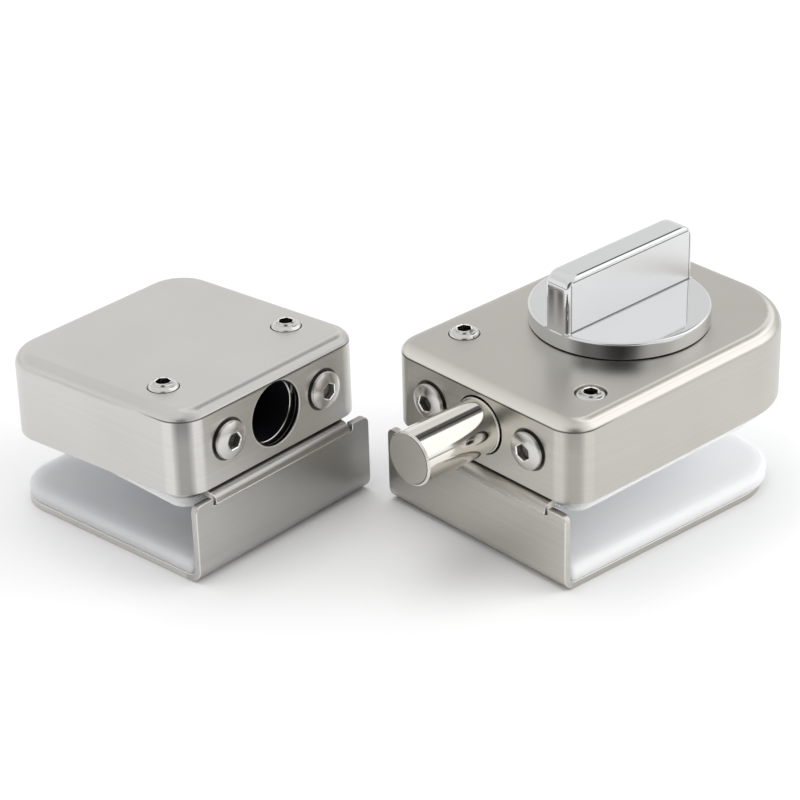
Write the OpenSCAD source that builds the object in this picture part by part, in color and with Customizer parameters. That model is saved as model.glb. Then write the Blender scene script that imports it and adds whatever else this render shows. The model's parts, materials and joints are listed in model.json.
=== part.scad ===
// Glass door bolt lock: a bolt unit with a thumbturn, and the strike unit that its bolt enters.
// Each unit clamps on the edge of a glass panel, and needs no hole in the glass.
// Every piece of a unit is drawn behind that unit's front face: x = 0 is the face that the bolt
// passes, x runs forward, and z = 0 is the surface that the unit's clamp leaf rests on.

/* [Cases] */
// Width of both cases, across the bolt
case_w = 50; // [48:0.5:56]
// Length of the bolt unit's case
bolt_case_len = 68.5; // [68:0.5:80]
// Length of the strike unit's case
strike_case_len = 50; // [46:0.5:60]
// Height of both cases
case_h = 17; // [17:0.5:20]
// Sheet thickness of the drawn cases
case_wall = 1.2; // [0.8:0.1:1.4]
// Plan radius of the two corners beside the bolt or the socket
front_r = 6; // [5:0.5:7]
// Plan radius of the bolt unit's rear corners
bolt_rear_r = 18; // [10:0.5:20]
// Plan radius of the strike unit's rear corners
strike_rear_r = 8.5; // [6:0.5:12]
// Rounding of the top edge
top_r = 3; // [2:0.25:4]

/* [Clamp plates] */
// Sheet thickness of the bent clamp plates
plate_t = 1.5; // [1.2:0.1:1.8]
// Distance of a clamp plate's sides from the outside of the case
plate_inset = 0.9; // [0.6:0.1:1.6]
// Height of the case's bottom edge above the foot of the clamp plate
jaw_h = 17.4; // [17:0.1:24]
// How far the plate's wall stands out from the case's front face
wall_proud = 1.35; // [0.9:0.05:1.8]
// Inside radius of the bend between the wall and the leaf
bend_r = 1.5; // [1:0.1:2.5]
// Inside radius of the two bends that set the tab back into the case
joggle_r = 0.4; // [0.4:0.1:0.8]
// Angle of those two bends
joggle_angle = 75; // [60:1:78]
// Distance of the sides of the tab, which goes up inside the case, from the plate's sides
tab_inset = 5.4; // [5:0.1:7]
// Height of the tab above the case's bottom edge
tab_h = 13.5; // [12:0.5:15]
// Width of the slit between the tab and each shoulder of the wall
slit_w = 0.7; // [0.5:0.1:1.2]
// Height of the case's bottom edge above the wall's shoulders
shoulder_gap = 1.1; // [0.3:0.1:1.4]
// Radius of the shoulders' outer corners
shoulder_r = 1.5; // [1:0.1:3]
// Reach of the bolt unit's leaf, from the outside of its wall
bolt_leaf_len = 62.9; // [56:0.1:66]
// Reach of the strike unit's leaf, from the outside of its wall
strike_leaf_len = 52; // [44:0.1:56]
// Radius of the bolt unit's leaf corners
bolt_leaf_r = 12; // [4:0.5:16]
// Radius of the strike unit's leaf corners
strike_leaf_r = 9; // [4:0.5:14]
// How far the bolt unit's case leans open on its leaf, in degrees
bolt_lean = 1.8; // [0:0.1:2.5]
// How far the strike unit's case leans on its leaf, closing when negative, in degrees
strike_lean = -2.2; // [-2.5:0.1:0]

/* [Glass pads and pressure plates] */
// Thickness of the pad on the bolt unit's leaf
bolt_pad_t = 3.3; // [2.8:0.1:3.5]
// Thickness of the pad on the strike unit's leaf
strike_pad_t = 2.8; // [2.8:0.1:3.5]
// How far the bolt unit's lower pad reaches past the end of its leaf
bolt_pad_over = 1.5; // [0:0.1:2]
// Rounding of the lower pads' edges on the glass side
pad_rim_r = 1.3; // [0.8:0.1:1.3]
// Thickness of the pad under a pressure plate
upper_pad_t = 2.6; // [1.5:0.1:3]
// Rounding of the upper pads' edges on the glass side
pad_edge_r = 1; // [0.4:0.1:1.2]
// Length of the relief under a leaf pad's front end, where the bend is
pad_relief = 4.2; // [3:0.1:6]
// Depth of that relief under the pad's front end
pad_relief_top = 0.8; // [0.4:0.1:1]
// Thickness of the pressure plates
press_t = 1.2; // [1:0.1:1.5]
// Rounding of the pressure plates' lower edges
press_edge_r = 0.2; // [0.1:0.05:0.3]
// Gap between the pressure plates and the tab in front of them
press_gap = 0.45; // [0.3:0.05:0.6]
// Distance of pressure plates and upper pads from the outside of the case
press_inset = 2.3; // [2:0.1:3]
// Depth of the upper pads' glass side below the case's bottom edge, at the set screws
press_drop = 3.5; // [3.2:0.1:4.5]
// Tilt of the strike unit's pressure plate in its case, in degrees
strike_press_tilt = 5.5; // [0:0.5:6]

/* [Bolt and socket] */
// Diameter of the bolt's free end
bolt_d = 10.9; // [9:0.1:11]
// How far the bolt stands out of the case when it is thrown
bolt_out = 17.8; // [16.5:0.1:24]
// Travel of the bolt
bolt_throw = 16; // [13:0.1:16]
// Chamfer of the bolt's end
bolt_chamfer = 0.6; // [0.3:0.1:1]
// Height of the bolt's axis above the case's bottom edge
bolt_rise = 8.4; // [8.2:0.1:9]
// Radial gap between the bolt's free end and the hole in the case
bolt_hole_gap = 0.5; // [0.5:0.05:0.8]
// How much thicker the bolt's guided part is, in radius
rod_extra = 0.2; // [0.1:0.05:0.2]
// How far that thicker part stands out of the case when the bolt is thrown
rod_step = 0.1; // [0.1:0.05:0.3]
// Diameter of the hole in the strike unit's case
socket_mouth_d = 13; // [12.8:0.1:14]
// Diameter of the socket's bore
socket_d = 12.6; // [12:0.1:12.8]
// Depth of the socket's bore, from the face of its block
socket_depth = 17.7; // [17:0.1:18]
// Length of the socket's block
strike_block_len = 19.2; // [19:0.1:19.6]
// Wall of the threaded inserts in the socket's block
insert_wall = 1; // [0.8:0.1:1.2]
// Length of the inserts for the set screws
set_insert_h = 10; // [8:0.5:12]
// Length of the inserts for the button-head screws
face_insert_len = 4.8; // [4:0.1:5]

/* [Thumbturn] */
// Diameter of the knob's base
knob_d = 35.5; // [30:0.5:38]
// Thickness of the knob's base
knob_base_h = 3.5; // [3:0.1:5]
// Height of the fin's top above the case
knob_h = 15.3; // [13:0.1:20]
// Thickness of the fin
fin_t = 6; // [6:0.1:8]
// Rounding of the fin's long edges
fin_edge_r = 0.9; // [0.4:0.1:1.4]
// Rounding of the fin's top corners, seen from its side
fin_corner_r = 3; // [1.5:0.1:5]
// Radius of the fillet at the fin's foot
fin_foot_r = 0.6; // [0.6:0.1:2]
// Chamfer of the base's rim
knob_chamfer = 0.5; // [0.3:0.1:1]
// Distance of the knob's axis behind the case's front face
knob_back = 38.2; // [38:0.1:42]
// Diameter of the recess in the knob's underside
recess_d = 15; // [14.8:0.1:17]
// Depth of that recess
recess_h = 1.35; // [1.3:0.05:1.6]

/* [Drive] */
// Diameter of the spindle
spindle_d = 8; // [7:0.1:8.4]
// Width across the flats of the spindle's lower end
spindle_flats = 6.2; // [5.6:0.1:6.4]
// Diameter of the stud that holds the knob
stud_d = 4; // [3:0.1:4.4]
// Length of that stud
stud_len = 8; // [6:0.1:9]
// Gap between the stud's end and the bottom of its hole in the knob
stud_end_gap = 0.5; // [0.3:0.1:1]
// Diameter of the bush's collar
bush_collar_d = 13.4; // [12.4:0.1:14]
// Thickness of the bush's collar
bush_collar_t = 0.8; // [0.6:0.1:1]
// Wall of the bush's sleeve
bush_wall = 1.4; // [1:0.1:1.8]
// Thickness of the spring washer's sheet
washer_t = 0.3; // [0.2:0.05:0.4]
// Radial gap between the spring washer and the spindle
washer_gap = 0.3; // [0.2:0.05:0.5]
// Thickness of the crank plate
crank_t = 1.5; // [1.2:0.1:1.7]
// Radius of the crank plate round the spindle
crank_hub_r = 7; // [6:0.1:8]
// Radius of the crank plate round the drive pin
crank_eye_r = 3.8; // [3:0.1:4]
// Diameter of the drive pin
pin_d = 4; // [3:0.1:4.4]
// Thickness of the drive pin's collar under the crank plate
pin_collar_t = 0.25; // [0.2:0.05:0.25]
// Reach of that collar past the drive pin
pin_collar_w = 0.5; // [0.3:0.1:0.6]
// Depth of the drive pin below the bolt's axis
pin_reach = 0.2; // [0:0.1:1]
// Thickness of the retaining clip
clip_t = 0.55; // [0.4:0.05:0.6]
// Outside diameter of the retaining clip
clip_d = 10.4; // [9.8:0.1:11]
// Depth of the clip's groove in the spindle
clip_groove = 0.5; // [0.3:0.1:0.6]
// Length of the spindle below the clip
spindle_end = 0.45; // [0.3:0.05:0.5]
// Diameter of the bolt's tail in the slide block
tail_d = 7; // [5:0.1:7.4]
// Wall of the slide block before and behind its slot
block_wall = 2; // [1.6:0.1:2]
// Wall of the slide block at the far end of its slot
block_end = 1.8; // [1.4:0.1:2.4]
// Reach of the slide block on the side away from its slot
block_side = 6; // [5:0.1:8]
// Diameter of the pin through the slide block and the bolt's tail
cross_pin_d = 2.5; // [1.5:0.1:3]
// Play of the drive pin in its slot, on each side, which makes the drive's ratio even
slot_play = 0.4; // [0.4:0.05:0.6]
// Depth of the slot's floor below the end of the drive pin
slot_floor = 0.4; // [0.3:0.1:0.8]

/* [Guide block and cover] */
// Length of the guide block
guide_len = 22.7; // [20:0.1:22.7]
// Gap between the blocks' sides and the inside of the cases
guide_side_gap = 2.3; // [1.8:0.1:3]
// Rounding of the upright front corners of the blocks and the cover
guide_corner_r = 4; // [3:0.5:5]
// Height of the guide block's rails
rail_h = 6; // [5:0.5:7]
// Width of those rails
rail_w = 2.5; // [2:0.1:3]
// Reach of the rails behind the case's front face
rail_back = 58; // [57.5:0.5:60]
// Diameter of the bosses at the rails' ends
boss_d = 6.5; // [6:0.1:7]
// Thickness of the cover sheet under the mechanism
cover_t = 1; // [0.8:0.1:1.1]
// Gap between the cover's sides and the inside of the case
cover_gap = 1; // [0.8:0.1:1.5]
// Distance of the cover's front screws behind the case's front face
cover_screw_front = 20.5; // [19:0.1:21]
// Distance of the cover's front screws from the middle
cover_screw_y = 10.5; // [10:0.1:12]
// Thread diameter of the cover's screws
cover_screw_d = 3; // [2.5:0.1:3]
// Length of the cover's screws
cover_screw_len = 5; // [4:0.1:5.5]
// Width across the flats of the cover screws' sockets
cover_screw_key = 2; // [1.5:0.1:2]
// Depth of those sockets
cover_key_depth = 0.8; // [0.5:0.1:1]
// Distance of the cover's rear screws behind the case's front face
cover_screw_rear = 54.5; // [54:0.1:55.5]

/* [Screws on show] */
// Distance of the button-head screws from the middle
face_screw_y = 13.1; // [12:0.1:13.6]
// Thread diameter of the button-head screws
face_screw_d = 4; // [3:0.1:4.2]
// Length of the button-head screws' shanks
face_screw_len = 7.4; // [6:0.1:7.4]
// Diameter of the button heads
button_d = 7.8; // [7:0.1:8.4]
// Height of the button heads
button_h = 2.1; // [1.8:0.1:2.4]
// Height of the button heads' straight rim
button_rim = 0.35; // [0.2:0.05:0.5]
// Width across the flats of the button heads' sockets
button_key = 2.9; // [2:0.1:3]
// Depth of those sockets
button_key_depth = 1.3; // [1:0.1:1.4]
// Distance of the set screws behind the case's front face
set_screw_back = 12.7; // [12.6:0.1:13.4]
// Distance of the set screws from the case's sides
set_screw_side = 8.2; // [8:0.1:8.6]
// Thread diameter of the set screws
set_screw_d = 5.9; // [5:0.1:6]
// How far a set screw stands out of the case
set_screw_out = 1.2; // [1:0.1:1.6]
// How far the bolt unit's lower set screw stands out of the case
set_screw_low = 0.35; // [0:0.05:1]
// Chamfer at the top of the set screws
set_screw_chamfer = 1.1; // [0.6:0.1:1.3]
// Chamfer at the tip of the set screws
set_screw_tip = 1.2; // [0.8:0.1:1.4]
// Width across the flats of the set screws' sockets
set_screw_key = 2.6; // [2:0.1:3]
// Depth of the set screws' sockets
set_key_depth = 3; // [2:0.1:3.4]

/* [Fits] */
// Radial clearance of a shaft that turns or slides in a hole
run_gap = 0.05; // [0.02:0.01:0.08]
// Clearance between pieces that are seated on each other
seat_gap = 0.05; // [0.02:0.01:0.08]
// Height of the gap between pieces that pass over each other
pass_gap = 0.3; // [0.25:0.01:0.35]
// Gap between the knob and the case
knob_gap = 0.15; // [0.1:0.05:0.2]
// Radial gap of a screw in a plain hole
screw_gap = 0.15; // [0.1:0.05:0.3]

/* [Arrangement] */
// Place of the strike unit's front face, along the bolt's axis from the knob
strike_x = -63.6; // [-90:0.1:-60]
// Place of the strike unit's front face, across the bolt's axis
strike_y = 28; // [26:0.1:80]
// Direction that the strike unit's socket faces
strike_turn = -83.3; // [-95:0.1:-75]

/* [Hidden] */
$fn = 64;
eps = 0.01;
over = 1;
lap = 2;
steel = "#b7b5ae";
bright = "#dcdddf";
inner = "#8f9194";
brass = "#b59a5b";
black = "#1a1a1c";
soft = "#e8ebef";

// Clamp plates
plate_w = case_w - 2 * plate_inset;
tab_w = plate_w - 2 * tab_inset;
bend_thin = 0.01;
bend_lap = 2;
bend_x = wall_proud - plate_t - bend_r;
bend_z = plate_t + bend_r;
wall_in = wall_proud - plate_t;
tab_front = -case_wall - seat_gap;
tab_rear = tab_front - plate_t;
joggle_out = wall_proud - tab_front;
joggle_mid_r = joggle_r + plate_t / 2;
joggle_link = (joggle_out - 2 * joggle_mid_r * (1 - cos(joggle_angle))) / sin(joggle_angle);
joggle_rise = 2 * joggle_mid_r * sin(joggle_angle) + joggle_link * cos(joggle_angle);
joggle_z = jaw_h - joggle_rise;
shoulder_z = jaw_h - shoulder_gap;

// Heights inside the cases
axis_z = jaw_h + bolt_rise;
top_z = jaw_h + case_h;
ceiling_z = top_z - case_wall;
press_z = jaw_h - press_drop;
press_top_z = press_z + upper_pad_t + press_t;
cover_z = press_top_z + pass_gap;
floor_z = cover_z + cover_t;
block_top_z = ceiling_z - seat_gap;

// Plan of the inner pieces
face_x = tab_rear - seat_gap;
guide_rear = face_x - guide_len;
press_front = tab_rear - press_gap;
guide_w = case_w - 2 * (case_wall + guide_side_gap);
set_screw_y = case_w / 2 - set_screw_side;
cover_boss_y = guide_w / 2 - boss_d / 2 - seat_gap;
cover_w = case_w - 2 * (case_wall + cover_gap);
set_insert_d = set_screw_d + 2 * insert_wall;
face_insert_d = face_screw_d + 2 * insert_wall;
cover_head_h = cover_t - seat_gap;

// Drive: the crank swings evenly to both sides of square across the bolt
crank_r = bolt_throw / sqrt(2);
pin_near = crank_r * cos(45);
knob_x = -knob_back;
pin_x = knob_x + pin_near;
crank_top = ceiling_z - 2 * seat_gap;
crank_bottom = crank_top - crank_t;
clip_top = crank_bottom - seat_gap;
clip_bottom = clip_top - clip_t;
spindle_bottom = clip_bottom - spindle_end;
under_spindle = spindle_bottom - pass_gap;
slide_bottom = floor_z + pass_gap;
slide_top = min(under_spindle, crank_bottom - pass_gap);
slot_half = pin_d / 2 + slot_play;
slide_front = pin_x + slot_half + block_wall;
slide_rear = pin_x - slot_half - block_wall;
slot_near = pin_near - slot_half;
slot_far = crank_r + slot_half;
slide_far = slot_far + block_end;
pin_bottom = axis_z - pin_reach;
knob_bottom = top_z + knob_gap;
recess_top = knob_bottom + recess_h;
collar_top = top_z + bush_collar_t;
bush_r = spindle_d / 2 + run_gap + bush_wall;
rod_d = bolt_d + 2 * rod_extra;
bolt_hole_d = bolt_d + 2 * bolt_hole_gap;
flat_front = knob_x + bolt_throw + crank_hub_r + pass_gap;

// Places

// Turns what stands on a leaf about the centre of the plate's lower bend
module leaning(angle) {
    translate([bend_x, 0, bend_z]) rotate([0, angle, 0]) translate([-bend_x, 0, -bend_z]) children();
}

module on_bolt_leaf() {
    translate([-knob_back, 0, 0]) rotate([0, 0, 180]) children();
}

module in_bolt_unit() {
    on_bolt_leaf() leaning(bolt_lean) children();
}

module on_strike_leaf() {
    translate([strike_x, strike_y, 0]) rotate([0, 0, strike_turn]) children();
}

module in_strike_unit() {
    on_strike_leaf() leaning(strike_lean) children();
}

// Tilts the strike unit's pressure plate about the line where its set screws press
module on_press_tilt() {
    translate([-set_screw_back, 0, press_z]) rotate([0, strike_press_tilt, 0])
        translate([set_screw_back, 0, -press_z]) children();
}

module both_sides(y) {
    for (side = [-1, 1]) translate([0, side * y, 0]) children();
}

// Basic forms

// A hole or a shaft along x, from x_rear to x_front
module along_x(d, x_rear, x_front, z) {
    translate([x_rear, 0, z]) rotate([0, 90, 0]) cylinder(d = d, h = x_front - x_rear);
}

// A round block whose top edge is rounded
module rounded_puck(r, h, edge) {
    rotate_extrude() union() {
        square([r, h - edge]);
        square([r - edge, h]);
        translate([r - edge, h - edge]) intersection() {
            circle(edge);
            square(edge);
        }
    }
}

// Half of a rounded slab's section, from its middle line out to the rounded edge
module edge_section(reach, h, edge) {
    square([reach, h - edge]);
    square([reach - edge, h]);
    translate([reach - edge, h - edge]) circle(edge);
}

// A rounded slab's whole section
module slab_section(width, h, edge) {
    translate([-width / 2, 0]) square([width, h - edge]);
    translate([edge - width / 2, 0]) square([width - 2 * edge, h]);
    for (side = [-1, 1]) translate([side * (width / 2 - edge), h - edge]) circle(edge);
}

// A flat body with rounded plan corners and a rounded top edge, from its front face backwards
module drawn_body(length, width, h, r_front, r_rear, edge) {
    y_front = width / 2 - r_front;
    y_rear = width / 2 - r_rear;
    both_sides(y_front) translate([-r_front, 0, 0]) rounded_puck(r_front, h, edge);
    both_sides(y_rear) translate([r_rear - length, 0, 0]) rounded_puck(r_rear, h, edge);
    translate([r_rear - length, 0, 0]) rotate([90, 0, 90])
        linear_extrude(length - r_front - r_rear) slab_section(width, h, edge);
    translate([-r_front - lap, y_front, 0]) rotate([90, 0, 0])
        linear_extrude(2 * y_front) edge_section(r_front + lap, h, edge);
    translate([r_rear + lap - length, -y_rear, 0]) rotate([90, 0, 180])
        linear_extrude(2 * y_rear) edge_section(r_rear + lap, h, edge);
}

// A flat sheet with two rounded rear corners
module tongue(length, width, t, r) {
    linear_extrude(t) union() {
        translate([-(length - r), -width / 2]) square([length - r, width]);
        translate([-length, -(width / 2 - r)]) square([length, width - 2 * r]);
        for (side = [-1, 1]) translate([-(length - r), side * (width / 2 - r)]) circle(r);
    }
}

// The same sheet with its two rounded corners in front
module nose(length, width, t, r) {
    translate([-length, 0, 0]) rotate([0, 0, 180]) tongue(length, width, t, r);
}

// A bent strip of sheet whose bend axis runs along y. It is a little thinner than the sheet, as a
// bend is, and runs a short way on into the flat sheet at both its ends
module bend(x, z, r, width, start, sweep) {
    translate([x, width / 2 - bend_thin, z]) rotate([90, 0, 0]) rotate([0, 0, start - bend_lap])
        rotate_extrude(angle = sweep + 2 * bend_lap) translate([r + bend_thin, 0])
            square([plate_t - 2 * bend_thin, width - 2 * bend_thin]);
}

// Sheet-metal pieces

module case_shell(length, rear_r) {
    inner_edge = max(top_r - case_wall, case_wall / 3);
    difference() {
        translate([0, 0, jaw_h]) drawn_body(length, case_w, case_h, front_r, rear_r, top_r);
        translate([-case_wall, 0, jaw_h])
            drawn_body(length - 2 * case_wall, case_w - 2 * case_wall, case_h - case_wall,
                front_r - case_wall, rear_r - case_wall, inner_edge);
        translate([-length / 2, 0, jaw_h - over])
            linear_extrude(over + eps) square([length - 2 * rear_r, case_w - 2 * rear_r], center = true);
        both_sides(face_screw_y) along_x(face_screw_d + 2 * screw_gap, -case_wall - over, over, axis_z);
        both_sides(set_screw_y) translate([-set_screw_back, 0, ceiling_z - over])
            cylinder(d = set_screw_d + 2 * screw_gap, h = case_wall + 2 * over);
    }
}

// The part of a clamp plate that stands up: wall, shoulders, set-back, and tab with its open notch
module plate_wall(hole_d) {
    slit_y = tab_w / 2 + slit_w;
    corner_y = plate_w / 2 - shoulder_r;
    corner_z = shoulder_z - shoulder_r;
    difference() {
        translate([wall_in, 0, 0]) rotate([90, 0, 90]) linear_extrude(plate_t) union() {
            translate([-plate_w / 2, bend_z]) square([plate_w, corner_z - bend_z]);
            translate([-corner_y, bend_z]) square([2 * corner_y, shoulder_z - bend_z]);
            for (side = [-1, 1]) translate([side * corner_y, corner_z]) circle(shoulder_r);
        }
        translate([wall_in - over, -slit_y, joggle_z]) cube([plate_t + 2 * over, 2 * slit_y, jaw_h]);
    }
    bend(wall_in - joggle_r, joggle_z, joggle_r, tab_w, 0, joggle_angle);
    translate([wall_in - joggle_r, 0, joggle_z]) rotate([0, -joggle_angle, 0])
        translate([joggle_r, -tab_w / 2, 0]) cube([plate_t, tab_w, joggle_link]);
    bend(tab_front + joggle_r, jaw_h, joggle_r, tab_w, 180, joggle_angle);
    difference() {
        translate([tab_rear, -tab_w / 2, jaw_h]) cube([plate_t, tab_w, tab_h]);
        along_x(hole_d, tab_rear - over, tab_front + over, axis_z);
        translate([tab_rear - over, -hole_d / 2, axis_z]) cube([plate_t + 2 * over, hole_d, tab_h]);
        both_sides(face_screw_y)
            along_x(face_screw_d + 2 * screw_gap, tab_rear - over, tab_front + over, axis_z);
    }
}

// The part of a clamp plate that lies flat, and the bend up to the wall
module plate_leaf(leaf_len, leaf_r, lean) {
    bend(bend_x, bend_z, bend_r, plate_w, -90, 90 - lean);
    translate([bend_x, 0, 0]) tongue(leaf_len - wall_proud + bend_x, plate_w, plate_t, leaf_r);
}

// Soft pieces

module lower_pad(pad_len, t, rear_r) {
    front = wall_in - seat_gap;
    translate([0, 0, plate_t]) difference() {
        translate([front, 0, 0])
            drawn_body(pad_len - wall_proud + front, plate_w, t, pad_rim_r + eps, rear_r, pad_rim_r);
        rotate([90, 0, 0]) linear_extrude(2 * plate_w, center = true)
            polygon([
                [front - pad_relief, 0], [front + over, -over],
                [front + over, bend_r], [front - pad_relief_top, bend_r]
            ]);
    }
}

module press_body(z, h, length, rear_r, edge) {
    translate([press_front, 0, z])
        drawn_body(length + press_front - press_inset, case_w - 2 * press_inset, h,
            front_r - press_inset, rear_r - press_inset, edge);
}

// The pad's rounded edge faces down, to the glass
module upper_pad(length, rear_r) {
    translate([0, 0, press_z + upper_pad_t]) mirror([0, 0, 1])
        press_body(0, upper_pad_t, length, rear_r, pad_edge_r);
}

module pressure_plate(length, rear_r) {
    press_body(press_z + upper_pad_t, press_t, length, rear_r, press_edge_r);
}

// Screws

// A domed screw head with a hexagon socket, and its shank behind the face
module button_screw() {
    rise = button_h - button_rim;
    dome_r = (rise * rise + button_d * button_d / 4) / (2 * rise);
    translate([seat_gap, 0, 0]) rotate([0, 90, 0]) difference() {
        rotate_extrude() union() {
            intersection() {
                translate([0, button_h - dome_r]) circle(dome_r);
                square([button_d / 2, button_h]);
            }
            translate([0, -face_screw_len]) square([face_screw_d / 2, face_screw_len + button_rim]);
        }
        translate([0, 0, button_h - button_key_depth]) hex_prism(button_key, button_h);
    }
}

module hex_prism(across, h) {
    cylinder(d = across / cos(30), h = h, $fn = 6);
}

// A set screw with a chamfered top, a hexagon socket and a blunt tip
module set_screw(z_tip, z_top) {
    z_body = z_tip + set_screw_tip;
    difference() {
        union() {
            translate([0, 0, z_tip])
                cylinder(d1 = set_screw_d - 2 * set_screw_tip, d2 = set_screw_d, h = set_screw_tip);
            translate([0, 0, z_body]) cylinder(d = set_screw_d, h = z_top - set_screw_chamfer - z_body);
            translate([0, 0, z_top - set_screw_chamfer])
                cylinder(d1 = set_screw_d, d2 = set_screw_d - 2 * set_screw_chamfer, h = set_screw_chamfer);
        }
        translate([0, 0, z_top - set_key_depth]) hex_prism(set_screw_key, set_key_depth + over);
    }
}

module face_screws() {
    both_sides(face_screw_y) translate([0, 0, axis_z]) button_screw();
}

// Where the set screws pass the blocks
module set_screw_holes(d) {
    both_sides(set_screw_y) translate([-set_screw_back, 0, 0]) cylinder(d = d, h = 2 * top_z);
}

module face_screw_holes(d) {
    both_sides(face_screw_y) along_x(d, -face_screw_len - over, face_x + over, axis_z);
}

// Where the cover's screws stand
module cover_screw_places() {
    both_sides(cover_screw_y) translate([-cover_screw_front, 0, 0]) children();
    both_sides(cover_boss_y) translate([-cover_screw_rear, 0, 0]) children();
}

// The bolt unit's pieces

module bolt_case() color(steel) in_bolt_unit() {
    difference() {
        case_shell(bolt_case_len, bolt_rear_r);
        along_x(bolt_hole_d, -case_wall - over, over, axis_z);
        translate([knob_x, 0, ceiling_z - over]) cylinder(r = bush_r + seat_gap, h = case_wall + 2 * over);
    }
}

module guide_block() color(inner) in_bolt_unit() {
    difference() {
        union() {
            translate([face_x, 0, floor_z])
                nose(guide_len, guide_w, block_top_z - floor_z, guide_corner_r);
            both_sides(guide_w / 2 - rail_w / 2) translate([-rail_back, -rail_w / 2, floor_z])
                cube([rail_back + guide_rear + over, rail_w, rail_h]);
            both_sides(cover_boss_y) translate([-cover_screw_rear, 0, floor_z])
                cylinder(d = boss_d, h = rail_h);
        }
        along_x(rod_d + 2 * run_gap, guide_rear - over, face_x + over, axis_z);
        set_screw_holes(set_screw_d + 2 * run_gap);
        face_screw_holes(face_screw_d + 2 * seat_gap);
        cover_screw_places() translate([0, 0, floor_z - over])
            cylinder(d = cover_screw_d + 2 * seat_gap, h = cover_screw_len + over);
    }
}

module bolt_clamp_plate() color(steel) {
    on_bolt_leaf() plate_leaf(bolt_leaf_len, bolt_leaf_r, bolt_lean);
    in_bolt_unit() plate_wall(bolt_hole_d);
}

module bolt_lower_pad() color(soft) on_bolt_leaf()
    lower_pad(bolt_leaf_len + bolt_pad_over, bolt_pad_t, bolt_leaf_r);

module bolt_pressure_plate() color(steel) in_bolt_unit() pressure_plate(bolt_case_len, bolt_rear_r);

module bolt_upper_pad() color(soft) in_bolt_unit() upper_pad(bolt_case_len, bolt_rear_r);

module bolt_face_screws() color(bright) in_bolt_unit() face_screws();

module bolt_set_screws() color(bright) in_bolt_unit() {
    tip_z = press_top_z + seat_gap;
    translate([-set_screw_back, -set_screw_y, 0]) set_screw(tip_z, top_z + set_screw_out);
    translate([-set_screw_back, set_screw_y, 0]) set_screw(tip_z, top_z + set_screw_low);
}

module mechanism_cover() color(inner) in_bolt_unit() {
    length = bolt_case_len - case_wall - cover_gap + face_x;
    rear_r = bolt_rear_r - case_wall - cover_gap;
    difference() {
        union() {
            translate([face_x, 0, cover_z]) nose(guide_corner_r + lap, cover_w, cover_t, guide_corner_r);
            translate([face_x - guide_corner_r, 0, cover_z])
                tongue(length - guide_corner_r, cover_w, cover_t, rear_r);
        }
        set_screw_holes(set_screw_d + 2 * screw_gap);
        cover_screw_places() translate([0, 0, cover_z - over])
            cylinder(d = cover_screw_d + 2 * screw_gap, h = cover_t + 2 * over);
        cover_screw_places() translate([0, 0, cover_z])
            cylinder(d1 = cover_screw_d + 2 * cover_head_h, d2 = cover_screw_d, h = cover_head_h);
    }
}

module cover_screws() color(bright) in_bolt_unit() {
    shank_d = cover_screw_d - 2 * seat_gap;
    cover_screw_places() translate([0, 0, cover_z]) difference() {
        union() {
            cylinder(d1 = shank_d + 2 * cover_head_h, d2 = shank_d, h = cover_head_h);
            cylinder(d = shank_d, h = cover_screw_len + cover_t - 2 * seat_gap);
        }
        translate([0, 0, -over]) hex_prism(cover_screw_key, cover_key_depth + over);
    }
}

module spindle_bush() color(brass) in_bolt_unit() translate([knob_x, 0, 0]) {
    difference() {
        union() {
            translate([0, 0, ceiling_z]) cylinder(r = bush_r, h = case_wall + eps);
            translate([0, 0, top_z]) cylinder(d = bush_collar_d, h = bush_collar_t);
        }
        translate([0, 0, ceiling_z - over])
            cylinder(d = spindle_d + 2 * run_gap, h = collar_top - ceiling_z + 2 * over);
    }
}

// The bolt and what moves with it

module bolt_rod() color(bright) in_bolt_unit() {
    difference() {
        union() {
            along_x(bolt_d - 2 * bolt_chamfer, slide_front, bolt_out, axis_z);
            translate([bolt_out - bolt_chamfer, 0, axis_z]) rotate([0, 90, 0])
                cylinder(d1 = bolt_d, d2 = bolt_d - 2 * bolt_chamfer, h = bolt_chamfer);
            along_x(bolt_d, rod_step, bolt_out - bolt_chamfer, axis_z);
            along_x(rod_d, slide_front, rod_step, axis_z);
            along_x(tail_d, slide_rear, slide_front + over, axis_z);
        }
        translate([slide_rear - over, -rod_d, under_spindle])
            cube([flat_front - slide_rear + over, 2 * rod_d, rod_d]);
        translate([pin_x, 0, 0]) cylinder(d = cross_pin_d + 2 * seat_gap, h = 2 * axis_z);
    }
}

module slide_block() color(inner) in_bolt_unit() {
    difference() {
        translate([slide_rear, -block_side, slide_bottom])
            cube([slide_front - slide_rear, block_side + slide_far, slide_top - slide_bottom]);
        along_x(tail_d + 2 * seat_gap, slide_rear - over, slide_front + over, axis_z);
        translate([pin_x, 0, 0]) cylinder(d = cross_pin_d + 2 * seat_gap, h = 2 * axis_z);
        translate([pin_x, 0, pin_bottom - slot_floor]) linear_extrude(bolt_d) union() {
            translate([-slot_half, pin_near]) square([2 * slot_half, crank_r - pin_near]);
            translate([0, pin_near]) circle(slot_half);
            translate([0, crank_r]) circle(slot_half);
        }
    }
}

module cross_pin() color(bright) in_bolt_unit() {
    translate([pin_x, 0, slide_bottom + seat_gap])
        cylinder(d = cross_pin_d, h = slide_top - slide_bottom - 2 * seat_gap);
}

// The thumbturn and what turns with it

module fin_side() {
    reach = knob_d / 2;
    corner = reach - fin_corner_r;
    top = knob_h - knob_gap;
    translate([-reach, 0]) square([2 * reach, top - fin_corner_r]);
    translate([-corner, 0]) square([2 * corner, top]);
    for (side = [-1, 1]) translate([side * corner, top - fin_corner_r]) circle(fin_corner_r);
}

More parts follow.
